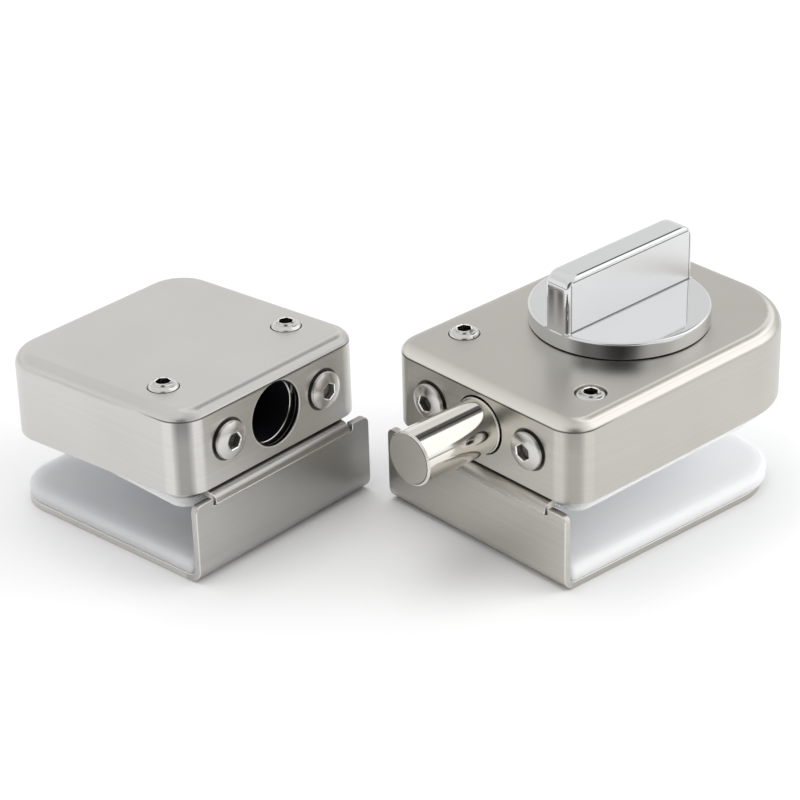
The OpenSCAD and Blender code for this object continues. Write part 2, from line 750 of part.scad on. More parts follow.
module fin_end(top, foot) {
    half = fin_t / 2;
    translate([-half, 0]) square([fin_t, top - fin_edge_r]);
    translate([fin_edge_r - half, 0]) square([fin_t - 2 * fin_edge_r, top]);
    for (side = [-1, 1])
        translate([side * (half - fin_edge_r), top - fin_edge_r]) circle(fin_edge_r);
    difference() {
        translate([-half - foot, 0]) square([fin_t + 2 * foot, knob_base_h + foot]);
        for (side = [-1, 1]) translate([side * (half + foot), knob_base_h + foot]) circle(foot);
    }
}

module knob() color(bright) in_bolt_unit() translate([knob_x, 0, knob_bottom]) {
    r = knob_d / 2;
    difference() {
        union() {
            cylinder(r = r, h = knob_base_h - knob_chamfer);
            translate([0, 0, knob_base_h - knob_chamfer])
                cylinder(r1 = r, r2 = r - knob_chamfer, h = knob_chamfer);
            intersection() {
                cylinder(r = r, h = knob_h);
                rotate([90, 0, 0]) linear_extrude(knob_d, center = true) fin_side();
                rotate([90, 0, 90]) linear_extrude(knob_d, center = true)
                    fin_end(knob_h - knob_gap, fin_foot_r);
            }
        }
        translate([0, 0, -over]) cylinder(d = recess_d, h = recess_h + over);
        cylinder(d = stud_d + 2 * seat_gap, h = recess_h + stud_len + stud_end_gap);
    }
}

module spindle() color(inner) in_bolt_unit() translate([knob_x, 0, 0]) {
    flats_top = crank_top + seat_gap;
    translate([0, 0, flats_top]) cylinder(d = spindle_d, h = recess_top - seat_gap - flats_top);
    translate([0, 0, recess_top - seat_gap - eps]) cylinder(d = stud_d, h = stud_len);
    intersection() {
        union() {
            translate([0, 0, spindle_bottom]) cylinder(d = spindle_d, h = spindle_end - seat_gap);
            cylinder(d = spindle_d - 2 * clip_groove, h = clip_top + seat_gap);
            translate([0, 0, clip_top + seat_gap]) cylinder(d = spindle_d, h = flats_top - clip_top);
        }
        translate([-spindle_d, -spindle_flats / 2, spindle_bottom])
            cube([2 * spindle_d, spindle_flats, flats_top - spindle_bottom + eps]);
    }
}

// A dished spring washer between the bush's collar and the knob, which keeps the knob where it is put
module spring_washer() color(bright) in_bolt_unit() translate([knob_x, 0, 0]) {
    low = collar_top + seat_gap;
    high = recess_top - seat_gap;
    rotate_extrude() polygon([
        [spindle_d / 2 + washer_gap, high - washer_t], [bush_collar_d / 2, low],
        [bush_collar_d / 2, low + washer_t], [spindle_d / 2 + washer_gap, high]
    ]);
}

module crank_plate() color(inner) in_bolt_unit() translate([knob_x, 0, crank_bottom]) rotate([0, 0, 45]) {
    lean = acos((crank_hub_r - crank_eye_r) / crank_r);
    difference() {
        linear_extrude(crank_t) union() {
            circle(crank_hub_r);
            translate([crank_r, 0]) circle(crank_eye_r);
            polygon([
                crank_hub_r * [cos(lean), sin(lean)], crank_hub_r * [cos(lean), -sin(lean)],
                [crank_r, 0] + crank_eye_r * [cos(lean), -sin(lean)],
                [crank_r, 0] + crank_eye_r * [cos(lean), sin(lean)]
            ]);
        }
        rotate([0, 0, -45]) translate([0, 0, -over]) intersection() {
            cylinder(d = spindle_d + 2 * seat_gap, h = crank_t + 2 * over);
            translate([-spindle_d, -spindle_flats / 2 - seat_gap, 0])
                cube([2 * spindle_d, spindle_flats + 2 * seat_gap, crank_t + 2 * over]);
        }
        translate([crank_r, 0, -over]) cylinder(d = pin_d + 2 * seat_gap, h = crank_t + 2 * over);
    }
}

module drive_pin() color(bright) in_bolt_unit() {
    translate([pin_x, pin_near, pin_bottom]) cylinder(d = pin_d, h = crank_top - pin_bottom);
    translate([pin_x, pin_near, crank_bottom - seat_gap - pin_collar_t])
        cylinder(d = pin_d + 2 * pin_collar_w, h = pin_collar_t);
}

module retaining_clip() color(bright) in_bolt_unit() translate([knob_x, 0, clip_bottom]) {
    hole_d = spindle_d - 2 * clip_groove + 2 * seat_gap;
    difference() {
        cylinder(d = clip_d, h = clip_t);
        translate([0, 0, -over]) cylinder(d = hole_d, h = clip_t + 2 * over);
        translate([-spindle_flats / 2, 0, -over]) cube([spindle_flats, clip_d, clip_t + 2 * over]);
    }
}

// The strike unit's pieces

module strike_case() color(steel) in_strike_unit() {
    difference() {
        case_shell(strike_case_len, strike_rear_r);
        along_x(socket_mouth_d, -case_wall - over, over, axis_z);
    }
}

module strike_block() color(black) in_strike_unit() {
    difference() {
        translate([face_x, 0, floor_z])
            nose(strike_block_len, guide_w, block_top_z - floor_z, guide_corner_r);
        along_x(socket_d, face_x - socket_depth, face_x + over, axis_z);
        set_screw_holes(set_screw_d + 2 * screw_gap);
        face_screw_holes(face_screw_d + 2 * screw_gap);
        both_sides(set_screw_y) translate([-set_screw_back, 0, floor_z - over])
            cylinder(d = set_insert_d + 2 * seat_gap, h = set_insert_h + over + seat_gap);
        both_sides(face_screw_y)
            along_x(face_insert_d + 2 * seat_gap, face_x - face_insert_len - seat_gap, face_x + over, axis_z);
    }
}

module strike_set_inserts() color(brass) in_strike_unit() {
    both_sides(set_screw_y) translate([-set_screw_back, 0, floor_z]) difference() {
        cylinder(d = set_insert_d, h = set_insert_h);
        translate([0, 0, -over]) cylinder(d = set_screw_d + 2 * run_gap, h = set_insert_h + 2 * over);
    }
}

module strike_face_inserts() color(brass) in_strike_unit() {
    both_sides(face_screw_y) difference() {
        along_x(face_insert_d, face_x - face_insert_len, face_x, axis_z);
        along_x(face_screw_d + 2 * seat_gap, face_x - face_insert_len - over, face_x + over, axis_z);
    }
}

module strike_clamp_plate() color(steel) {
    on_strike_leaf() plate_leaf(strike_leaf_len, strike_leaf_r, strike_lean);
    in_strike_unit() plate_wall(socket_mouth_d);
}

module strike_lower_pad() color(soft) on_strike_leaf()
    lower_pad(strike_leaf_len, strike_pad_t, strike_leaf_r);

module strike_pressure_plate() color(steel) in_strike_unit()
    on_press_tilt() pressure_plate(strike_case_len, strike_rear_r);

module strike_upper_pad() color(soft) in_strike_unit()
    on_press_tilt() upper_pad(strike_case_len, strike_rear_r);

module strike_face_screws() color(bright) in_strike_unit() face_screws();

// The tips stand off by what the tilted plate rises under them
module strike_set_screws() color(bright) in_strike_unit() {
    tip_z = press_top_z + seat_gap + set_screw_d / 2 * tan(strike_press_tilt);
    both_sides(set_screw_y) translate([-set_screw_back, 0, 0])
        set_screw(tip_z, top_z + set_screw_out);
}

bolt_case();
guide_block();
bolt_clamp_plate();
bolt_lower_pad();
bolt_pressure_plate();
bolt_upper_pad();
bolt_face_screws();
bolt_set_screws();
mechanism_cover();
cover_screws();
spindle_bush();
knob();
spindle();
spring_washer();
crank_plate();
drive_pin();
retaining_clip();
bolt_rod();
slide_block();
cross_pin();
strike_case();
strike_block();
strike_clamp_plate();
strike_lower_pad();
strike_pressure_plate();
strike_upper_pad();
strike_face_screws();
strike_set_screws();
strike_face_inserts();
strike_set_inserts();
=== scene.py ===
# %% [markdown]
# # A glass door lock in satin steel and polished metal
#
# The object is a pair of clamp-on units for glass doors. The longer unit has a thumbturn and a
# round bolt, and the shorter one is the strike that the bolt enters. The solid model gives every
# piece its place, in metres, so this script only adds what solids can't show: soft edges, brushed
# and polished surfaces, clear plastic pads, and light.

import json
import math

import bmesh
import bpy
from mathutils import Matrix, Vector

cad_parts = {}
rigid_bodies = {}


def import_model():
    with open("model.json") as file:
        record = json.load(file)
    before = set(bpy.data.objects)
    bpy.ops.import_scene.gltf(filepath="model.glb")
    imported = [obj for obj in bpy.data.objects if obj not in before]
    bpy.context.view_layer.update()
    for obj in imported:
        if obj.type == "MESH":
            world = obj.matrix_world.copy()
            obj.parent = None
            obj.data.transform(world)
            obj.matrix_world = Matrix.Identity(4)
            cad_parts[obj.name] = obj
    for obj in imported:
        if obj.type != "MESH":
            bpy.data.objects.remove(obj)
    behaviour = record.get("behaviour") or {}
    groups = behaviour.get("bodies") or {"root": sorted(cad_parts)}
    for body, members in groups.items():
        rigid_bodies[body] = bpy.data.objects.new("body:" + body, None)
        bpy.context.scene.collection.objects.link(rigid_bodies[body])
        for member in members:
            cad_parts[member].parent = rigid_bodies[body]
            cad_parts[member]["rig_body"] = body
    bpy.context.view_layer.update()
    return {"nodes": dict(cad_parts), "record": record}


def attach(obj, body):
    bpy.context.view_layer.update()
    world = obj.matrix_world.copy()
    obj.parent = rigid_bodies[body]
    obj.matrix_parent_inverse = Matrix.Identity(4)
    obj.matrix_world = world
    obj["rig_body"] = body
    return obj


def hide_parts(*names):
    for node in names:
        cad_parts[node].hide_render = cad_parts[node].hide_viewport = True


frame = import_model()
MM = 0.001
print("solid pieces:", len(frame["nodes"]))

# %% [markdown]
# ## Where the two units stand
#
# Each unit was drawn behind its own front face, x running forward, and then put on the table:
# the bolt unit turned half round, the strike unit turned almost square to it. Both cases lean a
# little on their clamp plates. A matrix for each unit repeats that placing, so that a piece can
# be built in the unit's own plain directions and moved into place in its mesh.
#
# The sizes below are in millimetres, in a unit's own directions: x forward from the case's front,
# y across, z up from the table.

# %% Sizes shared by several pieces
CASE_TOP, CASE_HALF, FRONT_R = 34.4, 25.0, 6.0
CREASE_Z, CREASE_INSET, CREASE_FADE = CASE_TOP - 1.75, 0.27, 15.0
AXIS_Z, BOLT_TIP, MOUTH_R = 25.8, 17.8, 6.5
# The upper pads press on the glass at this height, under the two set screws.
PRESS_Z = 13.9
KNOB_AT = Vector((-38.2, 0, 34.55))
KNOB_R, KNOB_BASE, KNOB_TOP, FIN_HALF = 17.75, 3.5, 15.15, 3.0
FACE_SCREW_Y, SET_SCREW_X = 13.1, -12.7
print("case:", CASE_TOP, "mm high and", 2 * CASE_HALF, "mm wide")

# %% Matrices of the units
BEND = Vector((-1.65, 0, 3)) * MM
FACING = Matrix.Rotation(math.radians(90), 4, "Y")


def unit_matrix(x, y, turn, lean):
    """Stands a unit at x and y, turned in degrees about the upright axis, and leans its case about
    the bend of its clamp plate."""
    turned = Matrix.Rotation(math.radians(turn), 4, "Z")
    leant = Matrix.Rotation(math.radians(lean), 4, "Y")
    place = Matrix.Translation(Vector((x, y, 0)) * MM) @ turned
    return place @ Matrix.Translation(BEND) @ leant @ Matrix.Translation(-BEND)


BOLT_PLACE, STRIKE_TURN = (KNOB_AT[0], 0, 180), -83.3
STRIKE_PLACE = (-63.6, 28, STRIKE_TURN)
BOLT_LEAF, BOLT_UNIT = unit_matrix(*BOLT_PLACE, 0), unit_matrix(*BOLT_PLACE, 1.8)
STRIKE_LEAF, STRIKE_UNIT = unit_matrix(*STRIKE_PLACE, 0), unit_matrix(*STRIKE_PLACE, -2.2)
PRESS_LINE = Vector((SET_SCREW_X, 0, PRESS_Z)) * MM
STRIKE_PRESS = (STRIKE_UNIT @ Matrix.Translation(PRESS_LINE)
                @ Matrix.Rotation(math.radians(5.5), 4, "Y") @ Matrix.Translation(-PRESS_LINE))
bore = BOLT_UNIT @ (Vector((0, 0, AXIS_Z)) * MM)
print("the bolt's hole in the scene:", tuple(round(v, 4) for v in bore))

# %% [markdown]
# ## The camera
#
# The photograph looks down at the two units from their left front, through a long lens. The
# camera's place, angle and focal length were worked out from the outlines of both units, and the
# small shift puts the middle of the picture where the photograph has it.

# %% Camera
camera = bpy.data.objects.new("camera", bpy.data.cameras.new("camera"))
bpy.context.scene.collection.objects.link(camera)
bpy.context.scene.camera = camera
camera.location = (-0.3593, -0.3253, 0.2703)
pitch = math.radians(-27.67)
look = Vector((0.679, 0.734, 0)).normalized() * math.cos(pitch) + Vector((0, 0, math.sin(pitch)))
camera.rotation_euler = look.to_track_quat("-Z", "Y").to_euler()
camera.data.sensor_width = 36
camera.data.lens = 124.5
camera.data.shift_x = -0.0024
camera.data.shift_y = 0.0004
camera.data.clip_start, camera.data.clip_end = 0.01, 20
print("camera looks along", tuple(round(v, 3) for v in look))

# %% [markdown]
# ## Writing materials as sums
#
# A material is a sheet of small calculations on every point of a surface, and so is the sky.
# Written as nodes by hand they are long to read, so a few small classes help. `Sheet.node` adds
# any node with its settings and its inputs. `Num` stands for a number that varies over the
# surface, and the usual signs of arithmetic on it add the Math nodes. `Finish` is the sheet of one
# material, which also knows where a point lies in its unit.

# %% Numbers that vary over a surface
class Num:
    def __init__(self, sheet, socket):
        self.sheet, self.socket = sheet, socket

    def _math(self, operation, *others):
        node = self.sheet.node("ShaderNodeMath", {"operation": operation}, dict(enumerate(others)))
        return Num(self.sheet, node.outputs[0])

    def __add__(self, other):
        return self._math("ADD", self, other)

    def __sub__(self, other):
        return self._math("SUBTRACT", self, other)

    def __rsub__(self, other):
        return self._math("SUBTRACT", other, self)

    def __mul__(self, other):
        return self._math("MULTIPLY", self, other)

    def at_least(self, other):
        return self._math("MAXIMUM", self, other)

    def at_most(self, other):
        return self._math("MINIMUM", self, other)

    def absolute(self):
        return self._math("ABSOLUTE", self)

    def root(self):
        return self._math("SQRT", self)

    def step(self, start, end):
        """0 up to start, 1 from end on, and a straight ramp between them. It may also fall."""
        return ((self - start) * (1 / (end - start))).at_least(0).at_most(1)

    __radd__, __rmul__ = __add__, __mul__


print("sums of surface numbers ready")

# %% Sheets of nodes
class Sheet:
    def __init__(self, tree):
        self.tree = tree

    def feed(self, socket, value):
        if isinstance(value, Num):
            self.tree.links.new(value.socket, socket)
        elif isinstance(value, bpy.types.NodeSocket):
            self.tree.links.new(value, socket)
        else:
            socket.default_value = value

    def node(self, kind, settings=None, values=None):
        made = self.tree.nodes.new(kind)
        for name, value in (settings or {}).items():
            if name == "stops":
                while len(made.color_ramp.elements) < len(value):
                    made.color_ramp.elements.new(0.5)
                for element, (position, colour) in zip(made.color_ramp.elements, value):
                    element.position, element.color = position, colour
            else:
                setattr(made, name, value)
        for name, value in (values or {}).items():
            self.feed(made.inputs[name], value)
        return made

    def dot(self, vector, direction):
        node = self.node("ShaderNodeVectorMath", {"operation": "DOT_PRODUCT"},
                         {0: vector, 1: direction})
        return Num(self, node.outputs["Value"])

    def blend(self, share, first, second):
        """The first colour where the share is 0, and the second where it is 1."""
        node = self.node("ShaderNodeMix", {"data_type": "RGBA"}, {0: share, 6: first, 7: second})
        return node.outputs[2]


print("sheets of nodes ready")

# %% Finishes of pieces
class Finish(Sheet):
    def __init__(self, name, **constants):
        self.material = bpy.data.materials.new(name)
        self.material.use_nodes = True
        super().__init__(self.material.node_tree)
        self.shader = self.tree.nodes["Principled BSDF"]
        self.set(**constants)

    def set(self, **values):
        for name, value in values.items():
            self.feed(self.shader.inputs[name.replace("_", " ")], value)

    def here(self):
        return self.node("ShaderNodeTexCoord").outputs["Object"]

    def place(self, turn=0, stretch=(1, 1, 1)):
        """The piece's own coordinates, turned about the upright axis and then stretched."""
        turned = self.node("ShaderNodeMapping", None,
                           {"Vector": self.here(), "Rotation": (0, 0, math.radians(turn))})
        return self.node("ShaderNodeMapping", None,
                         {"Vector": turned.outputs[0], "Scale": stretch}).outputs[0]

    def along(self, matrix, axis):
        """How far a point lies along one axis of a unit, in millimetres."""
        row = matrix.inverted()[axis]
        return self.dot(self.here(), row[:3]) * (1 / MM) + row[3] / MM

    def noise(self, vector, scale, detail, rough):
        node = self.node("ShaderNodeTexNoise", None,
                         {"Vector": vector, "Scale": scale, "Detail": detail, "Roughness": rough})
        return Num(self, node.outputs["Fac"])

    def bump(self, height, depth, strength):
        node = self.node("ShaderNodeBump", None,
                         {"Height": height, "Distance": depth, "Strength": strength})
        return node.outputs[0]


print("material helpers ready")

# %% [markdown]
# ## Floor and light
#
# Bright metal shows what stands round it, so the light matters as much as the material. The
# photograph was taken on white, in a white tent: bright low down, greyer at the height that the
# level tops reflect, with a dark line at the horizon. One side of it is lit more than the rest.
# It is dark in three places, at the opening that the camera looks through and at two small gaps
# high up behind the object and to its right. They draw the dark lines on the polished edges.
# Three lamps light the floor, which stays plain and pale. The metal doesn't mirror them.

# %% The sky of the tent
bpy.ops.mesh.primitive_plane_add(size=6, location=(0, 0, 0))
floor = bpy.context.object
floor.name = "floor"

world = bpy.data.worlds.new("studio")
bpy.context.scene.world = world
world.use_nodes = True
world.node_tree.nodes.clear()
sky = Sheet(world.node_tree)
way = sky.node("ShaderNodeTexCoord").outputs["Generated"]
# The sine of the height above the horizon, and the brightness there.
SKY_BANDS = [(0.0, 0.35), (0.05, 0.4), (0.07, 1.0), (0.38, 1.0),
             (0.47, 0.84), (0.62, 0.84), (0.78, 0.9), (1.0, 0.88)]
# The azimuth and height of each place, its inner and outer radius, all in degrees, and its share.
LIT_SIDE = (-32, 36, 20, 38, 0.5)
DARK_PLACES = [(14, 49, 8, 12, 0.88), (-2, 53, 6, 9, 0.85), (227, 24, 15, 30, 0.9)]


def compass(azimuth, height):
    """The direction at an azimuth and a height above the horizon, both in degrees."""
    a, h = math.radians(azimuth), math.radians(height)
    return (math.cos(a) * math.cos(h), math.sin(a) * math.cos(h), math.sin(h))


def patch(azimuth, height, inner, outer, share):
    """The share in a round part of the sky and 0 outside it. Its rim fades between the radii."""
    start, end = math.cos(math.radians(outer)), math.cos(math.radians(inner))
    return sky.dot(way, compass(azimuth, height)).step(start, end) * share


bands = sky.node("ShaderNodeValToRGB",
                 {"stops": [(sine, (tone, tone, tone, 1)) for sine, tone in SKY_BANDS]},
                 {0: sky.dot(way, (0, 0, 1))})
tone = Num(sky, bands.outputs[0]) + patch(*LIT_SIDE)
for place in DARK_PLACES:
    tone = tone * (1 - patch(*place))
back = sky.node("ShaderNodeBackground", None, {"Color": tone, "Strength": 1.0})
sky.node("ShaderNodeOutputWorld", None, {0: back.outputs[0]})
print("sky bands:", SKY_BANDS)

# %% Lamps
def lamp(name, at, towards, width, height, power):
    data = bpy.data.lights.new(name, "AREA")
    data.shape = "RECTANGLE"
    data.size, data.size_y, data.energy = width, height, power
    made = bpy.data.objects.new(name, data)
    made.location = at
    made.rotation_euler = (Vector(towards) - Vector(at)).to_track_quat("-Z", "Y").to_euler()
    made.visible_glossy = False
    bpy.context.scene.collection.objects.link(made)


lamp("overhead_softbox", (-0.1, 0.25, 1.1), (0, 0, 0), 0.9, 0.6, 3.5)
lamp("right_softbox", (0.7, -0.5, 0.5), (0, 0, 0), 0.5, 0.5, 1.6)
lamp("low_right_softbox", (0.38, -0.45, 0.13), (0, 0, 0.01), 0.35, 0.15, 0.3)
bpy.context.scene.view_settings.view_transform = "Standard"

# %% [markdown]
# ## Satin stainless steel
#
# The cases and the clamp plates are stainless sheet that was rubbed with fine abrasive in one
# direction. The scratches are far finer than a millimetre, so what shows is a soft reflection,
# faint streaks along the rubbing direction and slow, cloudy changes of tone. Noise stretched more
# than a hundred times in one direction makes the streaks. The upright faces were rubbed level,
# and the tops along the unit, so the two kinds are weighed by how much a face points up.

# %% Tints and distances
WARM, NEUTRAL = (1, 0.965, 0.895), (1, 0.98, 0.94)


def tinted(tone, tint):
    """A colour with no transparency: a grey of this tone, times the tint."""
    return (*[tone * part for part in tint], 1)


def ring_about(sheet, unit, off):
    """The distance from a line that runs forward through the unit, `off` to either side of it."""
    y, z = sheet.along(unit, 1), sheet.along(unit, 2) - AXIS_Z
    y = y.absolute() - off
    return (y * y + z * z).root()


print("mid grey, warm:", [round(part, 3) for part in tinted(0.5, WARM)])

# %% Satin steel
def satin_steel(name, unit, turn, seen_side, tone, tint, corner_shade, roll, roll_side, glow, wall_shade,
                mouth):
    """Satin sheet, with light and shade painted into its colour. The front has a painted sheen, and
    its corner a painted dark reflection between two painted highlight strips. A fine painted dark
    line marks the crease under the rounded top, and a painted shadow rings the button heads. The
    rounding has a painted reflection, the wall below painted shade, the mouth for the bolt a
    painted highlight on its edge and painted shade inside, and the edges to the right a painted
    highlight.

    `turn` is the unit's turn on the table, and `seen_side` the sign of y on the side that shows.
    The rest are tones and shares: `tone` of plain steel, `corner_shade` of the painted dark corner,
    `roll` of the painted reflection on the rounding, along the side too if `roll_side` is 1,
    `glow` of the painted highlight on the edges to the right, `wall_shade` of the painted shade on
    the wall, and `mouth` is the radius of the mouth, below 0 for none."""
    def share(part):
        return tinted(tone * part, tint)

    steel = Finish(name, Metallic=1.0, IOR=1.5)
    level = steel.noise(steel.place(turn, (14, 14, 2600)), 1, 3, 0.6)
    along = steel.noise(steel.place(turn, (14, 2600, 60)), 1, 3, 0.6)
    cloud = steel.noise(steel.place(turn), 55, 2, 0.5)
    patches = steel.noise(steel.place(turn), 18, 3, 0.6)
    normal = steel.node("ShaderNodeNewGeometry").outputs["Normal"]
    flat = steel.dot(normal, (0, 0, 1)).absolute().step(0.35, 0.85)
    streak = level * (1 - flat) + (along * 0.5 + 0.25) * flat
    shade = streak * 0.45 + cloud * 0.3 + patches * 0.25

    # Where the point lies in the unit, and which way its surface faces. `front` is 1 on the
    # front face of the case, and `case` all over the front end of the case.
    x, side, z = steel.along(unit, 0), steel.along(unit, 1) * seen_side, steel.along(unit, 2)
    corner_way = unit.to_3x3() @ Vector((1, seen_side, 0)).normalized()
    facing = steel.dot(normal, corner_way[:])
    front = x.step(-0.5, -0.3) * z.step(CREASE_Z + 0.05, CREASE_Z - 0.05)
    case = z.step(16.5, 17) * x.step(-9, -6)

    # The front has a painted sheen, and the strips that its corner has on both sides are painted
    # highlights.
    strips = facing.step(0.72, 0.8) * facing.step(0.97, 0.9) * case * (1 - flat)
    plain = steel.blend(shade.step(0.28, 0.72), share(0.93), share(1.06))
    bright = steel.blend(shade.step(0.3, 0.7), share(1.02), share(1.24))
    colour = steel.blend((front + strips * 0.6).at_most(1), plain, bright)

    # Painted dark reflection on the corner between them, fuller near the top.
    middle = facing.step(0.93, 0.99) * case * (0.75 + z.step(CREASE_Z - 5, CREASE_Z - 1) * 0.25)
    middle = middle * z.step(CASE_TOP - 0.3, CASE_TOP - 1.5)
    colour = steel.blend(middle * corner_shade, colour, share(0.3))

    # Painted reflection on the rounding under the top, its tone set by `roll`, and a painted
    # highlight on the edges to the right.
    rolled = (x.step(-2.8, -0.8) + side.step(22.2, 24.2) * roll_side).at_most(1)
    rolled = z.step(CREASE_Z, CREASE_Z + 0.25) * rolled
    colour = steel.blend(rolled, colour, share(roll))
    turned = steel.dot(normal, (0.02, -0.342, 0.94)).step(0.946, 0.976)
    turned = turned * case.at_least(z.step(CASE_TOP - 3, CASE_TOP - 2.8))
    colour = steel.blend(turned * glow, colour, tinted(0.97, tint))

    # Painted shade on the wall of the clamp plate, darker towards its far end and at its shoulder.
    shoulder = x.step(-0.35, -0.8) * z.step(14, 15) * 0.35
    wall = x.step(-2.6, -2.2) * z.step(17.5, 17.35)
    wall = wall * (side.step(CASE_HALF, -CASE_HALF) * 0.33 + shoulder + wall_shade)
    colour = steel.blend(wall, colour, share(0.3))

    # A painted highlight round the edge of the mouth.
    bore = ring_about(steel, unit, 0)
    rim = bore.step(mouth + 0.34, mouth + 0.24) * x.step(-0.5, -0.35)
    colour = steel.blend(rim * bore.step(mouth - 0.1, mouth), colour, tinted(0.95, tint))

    # Painted shade in dark lines: the crease, a painted shadow in the gap round the button heads,
    # and the wall of the mouth.
    crease = z.step(CREASE_Z - 0.34, CREASE_Z - 0.22) * z.step(CREASE_Z + 0.06, CREASE_Z)
    crease = crease * x.step(-12, -5)
    shadow = ring_about(steel, unit, FACE_SCREW_Y).step(4.35, 4.15) * front
    inside = bore.step(mouth + 0.14, mouth + 0.06) * x.step(-0.42, -0.55) * x.step(-7, -6)
    dark = (crease * 0.85 + shadow * 0.92 + inside * 0.9).at_most(0.94)
    steel.set(Base_Color=steel.blend(dark, colour, share(0.1)),
              Roughness=0.25 + streak * 0.12 + patches * 0.04,
              Normal=steel.bump(streak, 0.000012, 0.6))
    return steel.material


STEEL_OF_BOLT = satin_steel(
    "satin_steel_bolt", BOLT_UNIT, turn=0, seen_side=1, tone=0.54, tint=WARM, corner_shade=0.55,
    roll=1.4, roll_side=1, glow=0.8, wall_shade=0.0, mouth=-1)
STEEL_OF_STRIKE = satin_steel(
    "satin_steel_strike", STRIKE_UNIT, turn=-STRIKE_TURN, seen_side=-1, tone=0.63, tint=NEUTRAL,
    corner_shade=0.9, roll=0.74, roll_side=0, glow=0.3, wall_shade=0.34, mouth=MOUTH_R)
print("steel:", STEEL_OF_BOLT.name, STEEL_OF_STRIKE.name)

# %% [markdown]
# ## Polished and turned metal
#
# The thumbturn is plated and polished, with hardly a mark on it. The bolt is polished too, but
# its plating is thinner and shows faint lines along it and small rubbed spots, and its sawn end
# has fine rings. The screws are turned and a little softer. All are metals, and their roughness
# tells them apart.

# %% Plated metal
class Plated(Finish):
    """A bright metal with a faint haze, which every such finish starts from."""

    def __init__(self, name):
        super().__init__(name, Metallic=1.0, IOR=1.5)
        self.haze = self.noise(self.place(), 90, 3, 0.6)

    def marks(self):
        return self.haze * 0.6 + self.noise(self.place(), 900, 2, 0.5) * 0.4

    def hazy(self, tone, tint, low):
        return self.blend(self.haze, tinted(tone * low, tint), tinted(tone, tint))

    def done(self, colour, rough):
        self.set(Base_Color=colour, Roughness=rough, Normal=self.bump(self.haze, 0.00001, 0.08))
        return self.material


def polished(name, tone, tint, rough):
    metal = Plated(name)
    return metal.done(metal.hazy(tone, tint, 0.96), rough + metal.marks() * 0.1)


def rubbed_edge(name, tint, mouth):
    """The broken edges of a case and its plate, rubbed smooth, with a painted highlight in their
    brighter colour. Deep in the mouth they get painted shade.
    """
    metal = Plated(name)
    forward = metal.along(STRIKE_UNIT, 0)
    # Painted shade deep in the mouth.
    inside = ring_about(metal, STRIKE_UNIT, 0).step(mouth + 0.5, mouth + 0.4)
    inside = inside * forward.step(-0.5, -0.6) * forward.step(-7, -6)
    # Coloured brighter than the steel: a painted highlight on the edges.
    colour = metal.blend(metal.haze, tinted(0.69, tint), tinted(0.73, tint))
    return metal.done(metal.blend(inside * 0.95, colour, tinted(0.04, tint)),
                      0.18 + metal.haze * 0.06)


EDGE_STEEL = rubbed_edge("rubbed_edge", NEUTRAL, MOUTH_R)
# Brighter than the steel round it: a painted highlight on the edge in the socket.
SOCKET_EDGE = polished("socket_edge", 0.8, NEUTRAL, 0.14)
print("edges:", EDGE_STEEL.name, SOCKET_EDGE.name)

# %% The thumbturn's plating
def knob_plating(tone, tint):
    """Polished, a little softer on the fin's two sides. Painted shade and painted dark reflections
    lie at the fin's foot, on part of the rim, on the fin's end, and in a hairline where the sides
    meet their rounded edges."""
    metal = Plated("polished_knob")
    up = metal.along(BOLT_UNIT, 2) - KNOB_AT[2]
    out = (metal.along(BOLT_UNIT, 0) - KNOB_AT[0]).absolute()
    across = metal.along(BOLT_UNIT, 1).absolute()
    normal = metal.node("ShaderNodeTexCoord").outputs["Normal"]
    rim = metal.dot(normal, compass(213, 0)).step(0.92, 0.975)
    rim = rim * up.step(KNOB_BASE - 0.3, KNOB_BASE - 0.6)
    side = metal.dot(normal, (0, 1, 0)).absolute().step(0.9, 0.97)
    side = side * up.step(KNOB_BASE + 0.1, KNOB_BASE + 0.3)
    foot = up.step(KNOB_BASE + 0.02, KNOB_BASE + 0.06)
    foot = foot * up.step(KNOB_BASE + 0.36, KNOB_BASE + 0.28) * out.step(KNOB_R - 0.9, KNOB_R - 1.2)
    top_line = up.step(KNOB_TOP - 1.16, KNOB_TOP - 1.1) * up.step(KNOB_TOP - 0.9, KNOB_TOP - 0.96)
    end_line = out.step(KNOB_R - 1.45, KNOB_R - 1.38) * out.step(KNOB_R - 1.2, KNOB_R - 1.27)
    end = out.step(KNOB_R - 1.2, KNOB_R - 0.9) * up.step(KNOB_BASE + 0.4, KNOB_TOP - 4)
    end = end * (1 - side)
    streak = across.step(-0.2, 0.9) * across.step(2.2, 1.6)
    streak = streak * up.step(KNOB_TOP - 2.2, KNOB_TOP - 3.4)
    lines = side * (top_line + end_line) * 0.9
    # Painted shade and painted dark reflections, all darkening the plating's colour.
    dark = (foot * 0.85 + lines + end * streak * 0.7 + rim * 0.72).at_most(0.9)
    colour = metal.blend(dark, metal.hazy(tone, tint, 0.96), tinted(0.05, tint))
    return metal.done(colour, 0.04 + metal.marks() * 0.04 + side * 0.24)


KNOB_PLATE = knob_plating(0.74, (1, 1.005, 1.01))
print("thumbturn:", KNOB_PLATE.name)

